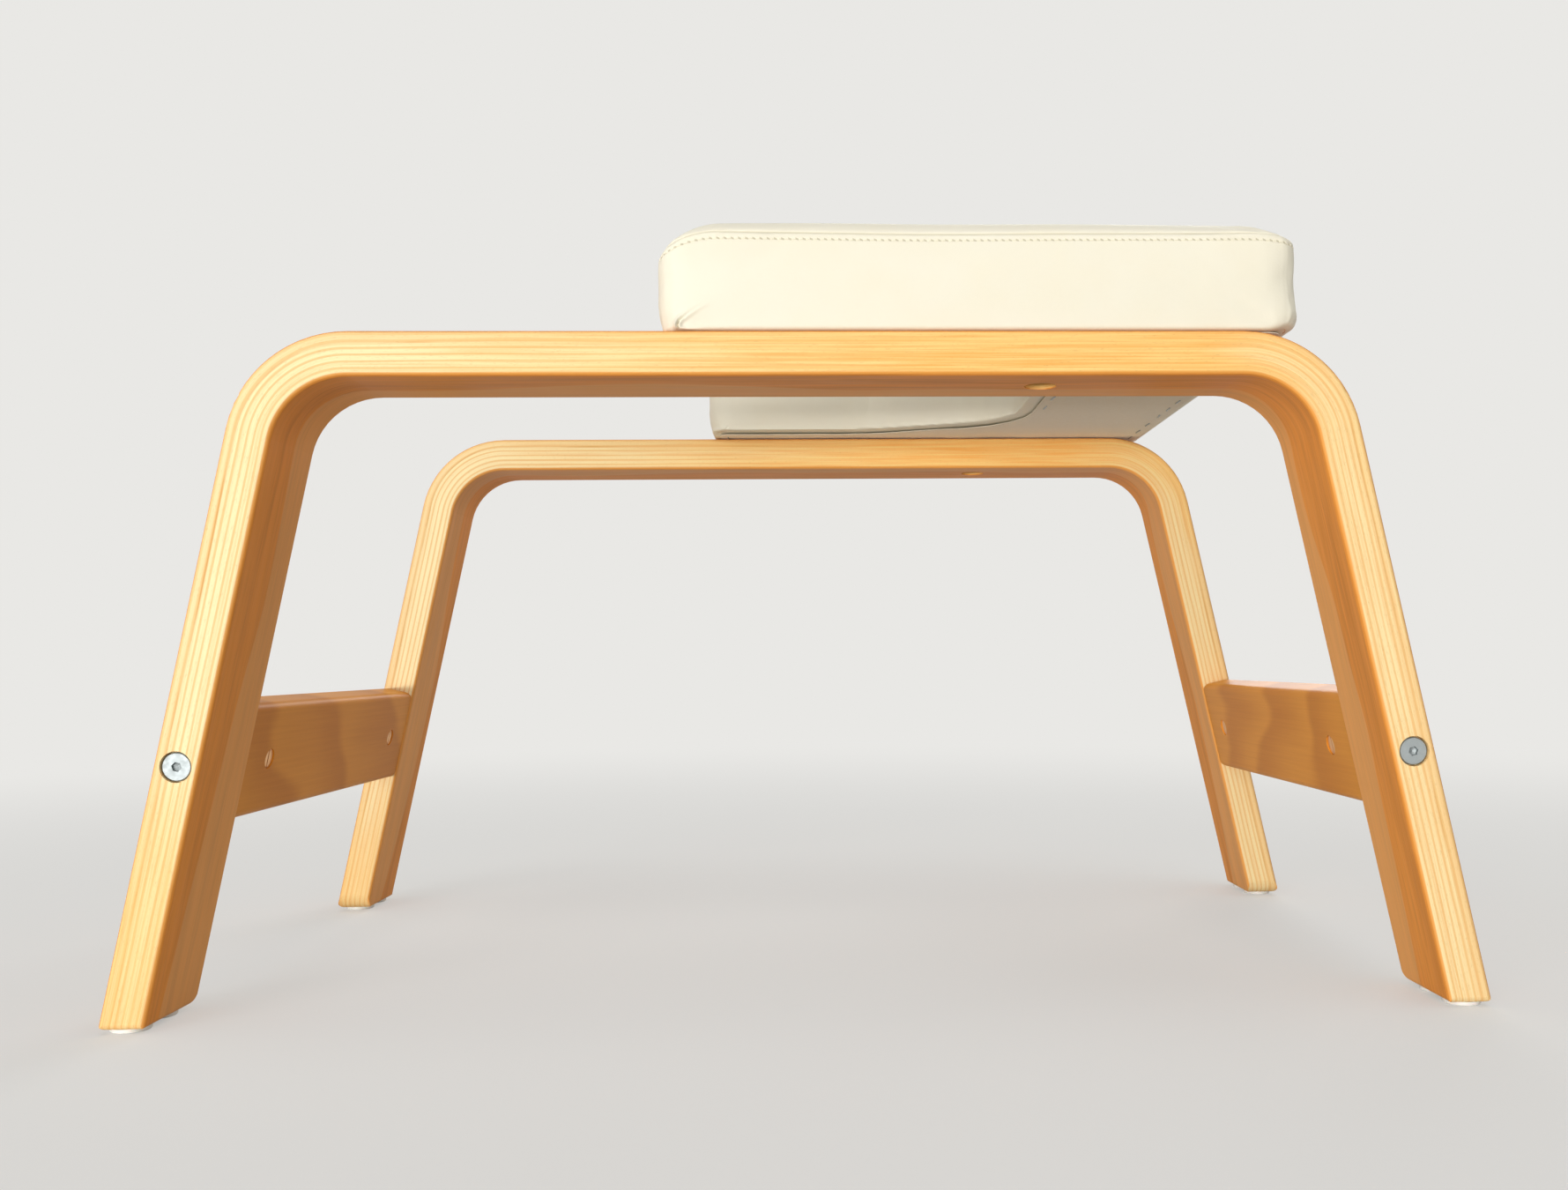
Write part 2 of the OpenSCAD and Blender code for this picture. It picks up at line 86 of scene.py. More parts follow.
# Lamps: name, place, width, height and share of the key's power. The key is a low wide strip in front.
LAMPS = (
    ("key", (-1.6, -3.0, 0.1), 2.6, 0.2, 1.0),
    ("front", (-2.0, -3.1, 1.8), 1.8, 1.0, 0.42),
    ("low", (-0.5, -1.9, 0.03), 2.2, 0.06, 0.32),
    ("top", (0.3, -0.6, 4.0), 2.6, 2.6, 0.65),
    ("back", (1.2, 3.4, 1.7), 2.4, 1.6, 1.0),
)
LAMP_AIM = Vector((0, 0, 0.2))

# The photograph's angle, found by fitting the frames' corners: place, turn in degrees, lens and its shift.
CAMERA_AT, CAMERA_TURN = (8.878 * MM, -775.42 * MM, 162.07 * MM), (88.60877, 0.57398, -2.32364)
LENS, SENSOR, LENS_SHIFT = 30.86, 36, (-0.06098, 0.06303)


def srgb(code):
    """A linear colour with full alpha from an sRGB hex code."""
    parts = [int(code[i : i + 2], 16) / 255 for i in (1, 3, 5)]
    return (*(c / 12.92 if c <= 0.04045 else ((c + 0.055) / 1.055) ** 2.4 for c in parts), 1.0)


def colour(name, description, code):
    """A setting for a colour."""
    return bpy.props.FloatVectorProperty(
        name=name, description=description, subtype="COLOR", size=4, min=0, max=1, default=srgb(code)
    )


def length(name, description, millimetres):
    """A setting for a length."""
    return bpy.props.FloatProperty(
        name=name, description=description, unit="LENGTH", min=0, precision=5, default=millimetres * MM
    )


class StoolWoodSettings(bpy.types.PropertyGroup):
    """Sizes and colours of the wooden pieces"""

    ply: length("Ply", "Thickness of one ply and its glue line", 1.5)
    pale_ply: colour("Pale ply", "Edge of a pale ply", "#FBE8B6")
    tan_ply: colour("Tan ply", "Edge of a darker ply", "#F0C88C")
    warm_ply: colour("Warm ply", "Tone that the plies drift towards", "#F6AE56")
    golden_ply: colour("Golden ply", "Streaks in the warm plies", "#F9D082")
    veneer: colour("Face veneer", "Broad faces of the side frames", "#F09E48")
    veneer_streak: colour("Veneer streak", "Darker growth lines in the face veneer", "#C67E38")
    crossbar: colour("Crossbar", "Pale bands of the solid crossbars", "#EA9E3A")
    crossbar_band: colour("Crossbar band", "Dark bands of the solid crossbars", "#C67A26")
    dowel: colour("Dowel", "Dowels and board", "#D9B989")


class StoolMetalSettings(bpy.types.PropertyGroup):
    """Colours of the fixings and glides"""

    zinc: colour("Zinc", "Zinc plating on bolts and staples", "#A2A8A8")
    yellow_zinc: colour("Yellow zinc", "Yellow zinc plating on the barrel nuts", "#E2B888")
    glide: colour("Glide", "Moulded glides under the legs", "#F1EFE8")


class StoolCushionSettings(bpy.types.PropertyGroup):
    """Sizes and colours of the cushion"""

    leather: colour("Leather", "Faux leather of the cover", "#EFE9D5")
    # Painted shade: the colour that the seam's gap and the needle holes are darkened to.
    painted_seam_shade: colour("Leather shade", "Gaps in the seam and round the needle holes", "#A89C78")
    thread: colour("Thread", "Topstitching", "#FBF5E2")
    lining: colour("Lining", "Cloth under the cushion", "#F7F0DE")
    voxel: length("Voxel", "Grid of the remeshed cushion", 3.2)
    swell: length("Swell", "Furthest that the stuffing may push the cover", 3.0)
    tuck: length("Tuck", "How much smaller the form starts", 0.8)
    seam_depth: length("Seam depth", "Depth of the sewn edge", 1.0)
    stitch_pitch: length("Stitch pitch", "From one stitch to the next", 3.2)
    stitch: length("Stitch", "Length of a stitch", 2.3)
    stitch_drop: length("Stitch drop", "From the sewn edge down to the topstitching", 3.7)
    staple_pitch: length("Staple pitch", "From one staple to the next", 24)


class StoolStageSettings(bpy.types.PropertyGroup):
    """Floor, light and camera"""

    backdrop: colour("Backdrop", "Floor and background", "#E9E8E5")
    bounce: colour("Bounce", "Floor as the object's undersides see it", "#B6B2AA")
    key: bpy.props.FloatProperty(
        name="Key light", description="Power of the soft key", unit="POWER", min=0, default=45
    )
    fill: bpy.props.FloatProperty(
        name="Fill", description="Strength of the room's light", min=0, default=0.37
    )


def add(tree, kind, inputs=(), output=0, **settings):
    """Adds a node with its settings and inputs, and returns one of its outputs."""
    node = tree.nodes.new(kind)
    for name, value in settings.items():
        setattr(node, name, value)
    for key, value in inputs.items() if isinstance(inputs, dict) else enumerate(inputs):
        if isinstance(value, bpy.types.NodeSocket):
            tree.links.new(value, node.inputs[key])
        else:
            node.inputs[key].default_value = value
    return node.outputs[output] if node.outputs else None


MATH, VECTOR, MIX = "ShaderNodeMath", "ShaderNodeVectorMath", "ShaderNodeMix"
NOISE, RANGE, BUMP = "ShaderNodeTexNoise", "ShaderNodeMapRange", "ShaderNodeBump"
SHADER, OUT = "ShaderNodeBsdfPrincipled", "ShaderNodeOutputMaterial"
# Settings that many nodes share: an eased step, and a mix of colours.
EASED = {"interpolation_type": "SMOOTHSTEP"}
COLOURS = {"data_type": "RGBA", "output": 2}


def new_material(name):
    """A new material, and its empty node tree."""
    material = bpy.data.materials.new(name)
    material.use_nodes = True
    material.node_tree.nodes.clear()
    return material, material.node_tree


def laminate_material(wood):
    """Sanded and lacquered bent laminate: pale and tan ply lines on its edges, veneer on its faces."""
    material, tree = new_material("bent_laminate_lacquered")
    place = add(tree, "ShaderNodeTexCoord", output=3)
    x = add(tree, "ShaderNodeSeparateXYZ", [place])
    y, z = x.node.outputs[1], x.node.outputs[2]
    out_y = add(tree, MATH, [y], operation="ABSOLUTE")

    # Depth is how far a point lies under the outer face.
    # Run is how far it lies from the rail's middle along the plies.
    across = add(tree, MATH, [add(tree, MATH, [x], operation="ABSOLUTE"), BEND_X], operation="SUBTRACT")
    up = add(tree, MATH, [z, BEND_Z], operation="SUBTRACT")
    leg = (math.sin(LEAN), 0.0, -math.cos(LEAN))
    arm = add(tree, "ShaderNodeCombineXYZ", [across, 0.0, up])
    down = add(tree, VECTOR, [arm, leg], output=1, operation="DOT_PRODUCT")
    down = add(tree, MATH, [down, 0.0], operation="MAXIMUM")
    rail = add(tree, MATH, [across, 0.0], operation="MINIMUM")
    on_leg = add(tree, VECTOR, {0: leg, 3: down}, operation="SCALE")
    arm = add(tree, VECTOR, [arm, on_leg], operation="SUBTRACT")
    arm = add(tree, VECTOR, [arm, add(tree, "ShaderNodeCombineXYZ", [rail])], operation="SUBTRACT")
    radius = add(tree, VECTOR, [arm], output=1, operation="LENGTH")
    depth = add(tree, MATH, [OUTER_R, radius], operation="SUBTRACT")
    arm_x = add(tree, "ShaderNodeSeparateXYZ", [arm])
    turn = add(tree, MATH, [arm_x, arm_x.node.outputs[2]], operation="ARCTAN2")
    run = add(tree, MATH, [turn, OUTER_R - PLY_STACK / 2, rail], operation="MULTIPLY_ADD")
    run = add(tree, MATH, [add(tree, MATH, [run, down], operation="ADD"), BEND_X], operation="ADD")
    run = add(tree, MATH, [run, add(tree, MATH, [x], operation="SIGN")], operation="MULTIPLY")
    side = add(tree, MATH, [y, 0.0], operation="GREATER_THAN")
    grain = add(tree, "ShaderNodeCombineXYZ", [run, y, depth])

    # Noises with their own scales along the run, across it and through the plies.
    noises = []
    for scales, settings in (
        ((9.0, 30.0, 60.0), {"Detail": 2.0}),
        ((16.0, 260.0, 2600.0), {"Detail": 3.0, "Roughness": 0.6}),
        ((16.0, 120.0, 480.0), {"Detail": 3.0, "Roughness": 0.6}),
        ((420.0, 700.0, 3300.0), {"Detail": 1.0}),
        ((5.0, 95.0, 20.0), {"Detail": 4.0, "Roughness": 0.62, "Distortion": 0.6}),
        ((30.0, 1100.0, 20.0), {"Detail": 2.0}),
        ((5.0, 8.0, 30.0), {"Detail": 1.0, "Distortion": 0.3}),
    ):
        stretched = add(tree, VECTOR, [grain, scales], operation="MULTIPLY")
        noises.append(add(tree, NOISE, {"Vector": stretched, "Scale": 1.0, **settings}))
    wander, streaks, patches, pores, lines, fine, sap = noises

    # Lines one ply apart, which wander a little along the length and differ in strength.
    ply = add(tree, MATH, [depth, 1 / wood.ply], operation="MULTIPLY")
    ply = add(tree, MATH, [wander, 0.9, ply], operation="MULTIPLY_ADD")
    wave = add(tree, MATH, [add(tree, MATH, [ply, math.pi], operation="MULTIPLY")], operation="SINE")
    pale = add(tree, RANGE, [wave, -1.0, -0.15, 0.0, 0.95], **EASED)
    number = add(tree, MATH, [ply], operation="FLOOR")
    number = add(tree, "ShaderNodeCombineXYZ", [number, side])
    tone = add(tree, "ShaderNodeTexWhiteNoise", [number], noise_dimensions="2D")
    pale = add(tree, MATH, [tone, -0.3, pale], operation="MULTIPLY_ADD")
    for uneven, weight in ((streaks, 1.3), (patches, 1.2)):
        uneven = add(tree, MATH, [uneven, 0.5], operation="SUBTRACT")
        pale = add(tree, MATH, [uneven, weight, pale], operation="MULTIPLY_ADD")
    # The outermost 5 mm are plain, with a brown glue line under them that comes and goes.
    inner = add(tree, MATH, [wander, 4 * MM, depth], operation="MULTIPLY_ADD")
    inner = add(tree, RANGE, [inner, 6.5 * MM, 8.5 * MM, 0.6, 1.0], **EASED)
    pale = add(tree, MATH, [pale, inner], operation="MULTIPLY", use_clamp=True)
    edge = add(tree, MIX, {0: pale, 6: wood.tan_ply, 7: wood.pale_ply}, **COLOURS)
    glue = add(tree, MATH, [depth, 6.6 * MM], operation="SUBTRACT")
    glue = add(tree, MATH, [wander, 3 * MM, glue], operation="MULTIPLY_ADD")
    glue = add(tree, MATH, [glue], operation="ABSOLUTE")
    glue = add(tree, RANGE, [glue, 0.15 * MM, 0.75 * MM, 1.0, 0.0])
    shown = add(tree, RANGE, [patches, 0.42, 0.62, 0.15, 0.85], **EASED)
    glue = add(tree, MATH, [glue, shown], operation="MULTIPLY")
    edge = add(tree, MIX, {0: glue, 6: edge, 7: srgb("#D79A52")}, **COLOURS)
    # The wood is warmer, with plies that are hard to tell apart, right of the middle and at the left feet.
    # Right of the middle this is partly the wood's own tone and partly painted light.
    golden = add(tree, MATH, [patches, 0.55], operation="MULTIPLY")
    golden = add(tree, MATH, [streaks, 0.9, golden], operation="MULTIPLY_ADD")
    golden = add(tree, RANGE, [golden, 0.5, 0.92, 0.0, 1.0], **EASED)
    golden = add(tree, MIX, {0: golden, 6: wood.warm_ply, 7: wood.golden_ply}, **COLOURS)
    spot = add(tree, MATH, [wander, 0.16, run], operation="MULTIPLY_ADD")
    rise = add(tree, RANGE, [spot, -0.18, 0.18, 0.02, 0.95], **EASED)
    fall = add(tree, RANGE, [spot, 0.26, 0.38, 1.0, 0.28], **EASED)
    foot = add(tree, RANGE, [spot, -0.3, -0.42, 0.0, 0.55], **EASED)
    # Partly painted light: the warmth right of the middle; the warmth at the left feet is the wood's tone.
    warmth_and_painted_light = add(tree, MATH, [rise, fall], operation="MULTIPLY")
    warmth_and_painted_light = add(tree, MATH, [warmth_and_painted_light, foot], operation="MAXIMUM")
    edge = add(tree, MIX, {0: warmth_and_painted_light, 6: edge, 7: golden}, **COLOURS)

    # Short brown pores, 1 to 3 mm long and a few tenths wide.
    pores = add(tree, RANGE, [pores, 0.62, 0.72, 0.0, 0.22], **EASED)
    edge = add(tree, MIX, {0: pores, 6: edge, 7: srgb("#B98A4C")}, **COLOURS)

    # The outermost plies show their broad face: long straight growth lines.
    lines = add(tree, MATH, [lines, 0.65], operation="MULTIPLY")
    lines = add(tree, MATH, [fine, 0.35, lines], operation="MULTIPLY_ADD")
    lines = add(tree, RANGE, [lines, 0.38, 0.7, 0.0, 0.7], **EASED)
    face = add(tree, MIX, {0: lines, 6: wood.veneer, 7: wood.veneer_streak}, **COLOURS)
    # Paler sapwood on the half nearer the stool's middle, with a clear edge that wanders.
    sap = add(tree, MATH, [sap, 60 * MM, out_y], operation="MULTIPLY_ADD")
    sap = add(tree, RANGE, [sap, SIDE_Y + 5 * MM, SIDE_Y + 6.5 * MM, 0.4, 0.0], **EASED)
    face = add(tree, MIX, {0: sap, 6: face, 7: srgb("#F0BE80")}, **COLOURS)
    # An orange line on the inner arris, where the last glue line comes through, but not in the bores.
    arris = add(tree, RANGE, [depth, PLY_STACK - 1.7 * MM, PLY_STACK - 1.2 * MM, 0.0, 0.85])
    rim = add(tree, MATH, [out_y, SIDE_Y - FRAME_W / 2], operation="SUBTRACT")
    rim = add(tree, MATH, [rim], operation="ABSOLUTE")
    rim = add(tree, RANGE, [rim, FRAME_W / 2 - 3 * MM, FRAME_W / 2 - 1 * MM, 0.0, 1.0])
    arris = add(tree, MATH, [arris, rim], operation="MULTIPLY")
    edge = add(tree, MIX, {0: arris, 6: edge, 7: srgb("#EE9F48")}, **COLOURS)
    inside = add(tree, RANGE, [depth, PLY_STACK - 0.7 * MM, PLY_STACK - 0.4 * MM, 0.0, 1.0])
    outside = add(tree, RANGE, [depth, 1.2 * MM, 0.6 * MM, 0.0, 1.0])
    broad = add(tree, MATH, [inside, outside], operation="MAXIMUM")
    shade = add(tree, MIX, {0: broad, 6: edge, 7: face}, **COLOURS)

    height = add(tree, MATH, [streaks, 0.6, pores], operation="MULTIPLY_ADD")
    bump = add(tree, BUMP, {"Strength": 0.25, "Distance": 0.1 * MM, "Height": height})
    gloss = add(tree, RANGE, [streaks, 0.3, 0.7, 0.4, 0.52])
    looks = {"Base Color": shade, "Roughness": gloss, "Normal": bump, "Specular IOR Level": 0.05}
    add(tree, OUT, [add(tree, SHADER, looks)])
    return material


def crossbar_material(wood):
    """Solid hardwood under satin lacquer: a few soft slanting bands and fine lines along the bar."""
    material, tree = new_material("solid_hardwood_lacquered")
    place = add(tree, "ShaderNodeTexCoord", output=3)
    # Bands that repeat every 75 mm along the bar and every 110 mm up it, bent by a broad noise.
    bent = add(tree, VECTOR, [place, (6.0, 7.0, 20.0)], operation="MULTIPLY")
    bent = add(tree, NOISE, {"Vector": bent, "Scale": 1.0, "Detail": 1.0})
    slope = (0.0, 1 / (75 * MM), 1 / (110 * MM))
    way = add(tree, VECTOR, [place, slope], output=1, operation="DOT_PRODUCT")
    turns = add(tree, MATH, [bent, 1.7, way], operation="MULTIPLY_ADD")
    broad = add(tree, MATH, [turns], operation="FRACT")
    rise = add(tree, RANGE, [broad, 0.0, 0.2, 0.0, 1.0], **EASED)
    fall = add(tree, RANGE, [broad, 0.2, 1.0, 1.0, 0.0], **EASED)
    broad = add(tree, MATH, [rise, fall], operation="MULTIPLY")
    fine = add(tree, VECTOR, [place, (900.0, 14.0, 900.0)], operation="MULTIPLY")
    fine = add(tree, NOISE, {"Vector": fine, "Scale": 1.0, "Detail": 3.0})
    mixed = add(tree, MATH, [fine, 0.45], operation="MULTIPLY")
    mixed = add(tree, MATH, [broad, 0.55, mixed], operation="MULTIPLY_ADD")
    shade = add(tree, MIX, {0: mixed, 6: wood.crossbar_band, 7: wood.crossbar}, **COLOURS)
    bump = add(tree, BUMP, {"Strength": 0.15, "Distance": 0.06 * MM, "Height": fine})
    looks = {"Base Color": shade, "Roughness": 0.36, "Normal": bump, "Specular IOR Level": 0.05}
    add(tree, OUT, [add(tree, SHADER, looks)])
    return material


def inner_wood_material(wood):
    """Beech dowels and the plywood board: plain, dry and pale."""
    material, tree = new_material("beech_unfinished")
    place = add(tree, "ShaderNodeTexCoord", output=3)
    fine = add(tree, VECTOR, [place, (60.0, 60.0, 900.0)], operation="MULTIPLY")
    fine = add(tree, NOISE, {"Vector": fine, "Scale": 1.0, "Detail": 3.0})
    shade = add(tree, MIX, {0: fine, 6: wood.dowel, 7: wood.veneer_streak}, **COLOURS)
    bump = add(tree, BUMP, {"Strength": 0.3, "Distance": 0.1 * MM, "Height": fine})
    looks = {"Base Color": shade, "Roughness": 0.7, "Normal": bump}
    add(tree, OUT, [add(tree, SHADER, looks)])
    return material


def zinc_material(name, plating, turned):
    """Zinc-plated steel: a soft shine, with lathe rings round the arch bolts' axes where it is turned."""
    material, tree = new_material(name)
    place = add(tree, "ShaderNodeTexCoord", output=3)
    spots = add(tree, NOISE, {"Vector": place, "Scale": 420.0, "Detail": 3.0})
    height = spots
    if turned:
        x = add(tree, "ShaderNodeSeparateXYZ", [place])
        across = add(tree, MATH, [add(tree, MATH, [x], operation="ABSOLUTE"), BOLT_X], operation="SUBTRACT")
        up = add(tree, MATH, [x.node.outputs[2], BOLT_Z], operation="SUBTRACT")
        radius = add(tree, "ShaderNodeCombineXYZ", [across, up])
        radius = add(tree, VECTOR, [radius], output=1, operation="LENGTH")
        # Rings 0.35 mm apart, coarser than a lathe leaves, so that they show.
        rings = add(tree, MATH, [radius, 2 * math.pi / (0.35 * MM)], operation="MULTIPLY")
        rings = add(tree, MATH, [rings], operation="SINE")
        height = add(tree, MATH, [rings, 0.5, spots], operation="MULTIPLY_ADD")
    gloss = add(tree, RANGE, [spots, 0.35, 0.65, 0.52, 0.64])
    bump = add(tree, BUMP, {"Strength": 0.25, "Distance": 0.05 * MM, "Height": height})
    looks = {"Base Color": plating, "Metallic": 1.0, "Roughness": gloss, "Normal": bump}
    add(tree, OUT, [add(tree, SHADER, looks)])
    return material


def glide_material(metal):
    """Moulded polyethylene: waxy, with the light texture of the mould."""
    material, tree = new_material("polyethylene_moulded")
    place = add(tree, "ShaderNodeTexCoord", output=3)
    texture = add(tree, NOISE, {"Vector": place, "Scale": 1600.0, "Detail": 2.0})
    bump = add(tree, BUMP, {"Strength": 0.2, "Distance": 0.05 * MM, "Height": texture})
    gloss = add(tree, RANGE, [texture, 0.3, 0.7, 0.4, 0.52])
    looks = {"Base Color": metal.glide, "Roughness": gloss, "Normal": bump}
    looks |= {"Subsurface Weight": 0.1, "Subsurface Scale": 1 * MM}
    add(tree, OUT, [add(tree, SHADER, looks)])
    return material


def leather_material(cushion):
    """Embossed polyurethane leather: pebbles about 0.8 mm across under a soft satin top coat."""
    material, tree = new_material("faux_leather_embossed")
    place = add(tree, "ShaderNodeTexCoord", output=3)
    warped = add(tree, NOISE, {"Vector": place, "Scale": 900.0, "Detail": 1.0}, output=1)
    warped = add(tree, VECTOR, {0: warped, 1: (0.0004,) * 3, 2: place}, operation="MULTIPLY_ADD")
    pebbles = {"Vector": warped, "Scale": 1 / (0.8 * MM)}
    pebbles = add(tree, "ShaderNodeTexVoronoi", pebbles, feature="SMOOTH_F1")
    soft = add(tree, NOISE, {"Vector": place, "Scale": 45.0, "Detail": 3.0})
    height = add(tree, MATH, [soft, 0.8, pebbles], operation="MULTIPLY_ADD")
    tone = add(tree, RANGE, [soft, 0.3, 0.7, 0.0, 0.35])
    shade = add(tree, MIX, {0: tone, 6: cushion.leather, 7: srgb("#EEE5CB")}, **COLOURS)

    # The map "sewing" counts stitches along the row, and gives the height over it in millimetres.
    sewing = add(tree, "ShaderNodeUVMap", uv_map="sewing")
    sewing = add(tree, "ShaderNodeSeparateXYZ", [sewing])
    up = sewing.node.outputs[1]
    along = add(tree, MATH, [add(tree, MATH, [sewing], operation="FRACT"), 0.5], operation="SUBTRACT")
    # Needle holes: a short slanted dash between one stitch and the next, pressed in by the bump and painted
    # darker as the shade in them.
    lean = add(tree, MATH, [along, 1.2, up], operation="MULTIPLY_ADD")
    across = add(tree, RANGE, [add(tree, MATH, [lean], operation="ABSOLUTE"), 0.28, 0.6, 1.0, 0.0])
    dash = add(tree, RANGE, [add(tree, MATH, [along], operation="ABSOLUTE"), 0.17, 0.26, 1.0, 0.0])
    holes = add(tree, MATH, [across, dash], operation="MULTIPLY")
    # The seam itself: a gap half a millimetre wide, painted dark as the shade in it.
    gap = add(tree, MATH, [up, cushion.stitch_drop / MM], operation="SUBTRACT")
    gap = add(tree, RANGE, [add(tree, MATH, [gap], operation="ABSOLUTE"), 0.15, 0.6, 0.95, 0.0])
    # Painted shade: the seam's gap and the needle holes are darkened towards the seam shade colour.
    painted_shade = add(tree, MATH, [add(tree, MATH, [holes, 0.6], operation="MULTIPLY"), gap], operation="MAXIMUM")
    shade = add(tree, MIX, {0: painted_shade, 6: shade, 7: cushion.painted_seam_shade}, **COLOURS)
    height = add(tree, MATH, [holes, -3.0, height], operation="MULTIPLY_ADD")
    bump = add(tree, BUMP, {"Strength": 0.22, "Distance": 0.12 * MM, "Height": height})
    gloss = add(tree, RANGE, [pebbles, 0.0, 0.8, 0.52, 0.42])
    looks = {"Base Color": shade, "Roughness": gloss, "Normal": bump, "Specular IOR Level": 0.3}
    add(tree, OUT, [add(tree, SHADER, looks)])
    return material


def thread_material(cushion):
    """Bonded polyester thread: two strands twisted, with a slight sheen."""
    material, tree = new_material("polyester_thread")
    place = add(tree, "ShaderNodeTexCoord", output=3)
    twist = add(tree, "ShaderNodeTexWave", {"Vector": place, "Scale": 700.0, "Distortion": 2.0})
    bump = add(tree, BUMP, {"Strength": 0.4, "Distance": 0.05 * MM, "Height": twist})
    shade = add(tree, MIX, {0: twist, 6: srgb("#E6DDC2"), 7: cushion.thread}, **COLOURS)
    looks = {"Base Color": shade, "Roughness": 0.5, "Normal": bump, "Sheen Weight": 0.2}
    add(tree, OUT, [add(tree, SHADER, looks)])
    return material


def lining_material(cushion):
    """Spunbonded dust cloth: matt, with a fine point-bonded weave 1 mm apart."""
    material, tree = new_material("spunbonded_cloth")
    place = add(tree, "ShaderNodeTexCoord", output=3)
    weave = {"Vector": place, "Scale": 1 / (1.0 * MM), "Randomness": 0.15}
    weave = add(tree, "ShaderNodeTexVoronoi", weave)
    fibres = add(tree, NOISE, {"Vector": place, "Scale": 500.0, "Detail": 4.0})
    height = add(tree, MATH, [weave, fibres], operation="MULTIPLY")
    bump = add(tree, BUMP, {"Strength": 0.35, "Distance": 0.1 * MM, "Height": height})
    shade = add(tree, MIX, {0: fibres, 6: cushion.lining, 7: srgb("#EDE3CC")}, **COLOURS)
    looks = {"Base Color": shade, "Roughness": 0.85, "Normal": bump, "Sheen Weight": 0.15}
    add(tree, OUT, [add(tree, SHADER, looks)])
    return material


def dress(material, *starts):
    """Gives the CAD nodes whose names start so the material, on their own slots."""
    for name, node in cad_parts.items():
        if name.startswith(starts):
            if not node.material_slots:
                node.data.materials.append(None)
            for place in node.material_slots:
                place.link = "OBJECT"
                place.material = material


def alone(obj):
    """Selects only this object and makes it active."""
    bpy.ops.object.select_all(action="DESELECT")
    obj.select_set(True)
    bpy.context.view_layer.objects.active = obj


def made_object(name, work):
    """A new object from a finished bmesh, alone and active."""
    obj = bpy.data.objects.new(name, bpy.data.meshes.new(name))
    work.to_mesh(obj.data)
    work.free()
    bpy.context.scene.collection.objects.link(obj)
    alone(obj)
    return obj


def copy_of(name, *nodes):
    """A new object from copies of CAD nodes, with their loose triangles merged."""
    work = bmesh.new()
    for node in nodes:
        work.from_mesh(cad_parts[node].data)
    bmesh.ops.remove_doubles(work, verts=work.verts, dist=1e-6)
    return made_object(name, work)


def stamp(work, pattern, place):
    """Adds a copy of the pattern's mesh to a bmesh, placed by the matrix."""
    mesh = pattern.data.copy()
    mesh.transform(place)
    work.from_mesh(mesh)
    bpy.data.meshes.remove(mesh)


def modified(obj, kind, **settings):
    """Adds a modifier and applies it."""
    alone(obj)
    modifier = obj.modifiers.new(kind.title(), kind)
    for name, value in settings.items():
        setattr(modifier, name, value)
    bpy.ops.object.modifier_apply(modifier=modifier.name)


def finish_piece(obj, material):
    """Smooth shading, material and body of a finished piece."""
    alone(obj)
    bpy.ops.object.shade_smooth_by_angle(angle=math.radians(50))
    obj.data.materials.clear()
    obj.data.materials.append(material)
    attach(obj, "root")


def tip_dip(x, z):
    """How far the cover lies lower at an arm's tip than the flat sewn edge."""
    near = min(1.0, max(0.0, 1 - (x - TIP_X) / TIP_RUN))
    share = min(1.0, max(0.0, (z - BOARD_TOP_Z) / (SEAM_Z - BOARD_TOP_Z)))
    return TIP_DROP * near**2 * share


def undip(x, z):
    """The height that a dipped point has before tip_dip."""
    fall = tip_dip(x, SEAM_Z)
    if z > SEAM_Z - fall:
        return z + fall
    rate = fall / (SEAM_Z - BOARD_TOP_Z)
    return (z - rate * BOARD_TOP_Z) / (1 - rate) if z > BOARD_TOP_Z else z


def smooth(value, start, end):
    """0 at the start and before it, 1 at the end and past it, and eased between."""
    t = min(1.0, max(0.0, (value - start) / (end - start)))
    return t * t * (3 - 2 * t)


def outline_way(x, y):
    """How far inside the cushion's outer outline a point lies in plan, and the way out."""
    over_x = abs(x - (TIP_X + CLOSED_X) / 2) - (CLOSED_X - TIP_X) / 2 + CORNER_R
    over_y = abs(y) - SIDE_Y + CORNER_R
    side_x, side_y = math.copysign(1, x - (TIP_X + CLOSED_X) / 2), math.copysign(1, y)
    if over_x > 0 and over_y > 0:
        reach = math.hypot(over_x, over_y)
        return CORNER_R - reach, Vector((side_x * over_x / reach, side_y * over_y / reach, 0))
    if over_x > over_y:
        return CORNER_R - over_x, Vector((side_x, 0, 0))
    return CORNER_R - over_y, Vector((0, side_y, 0))


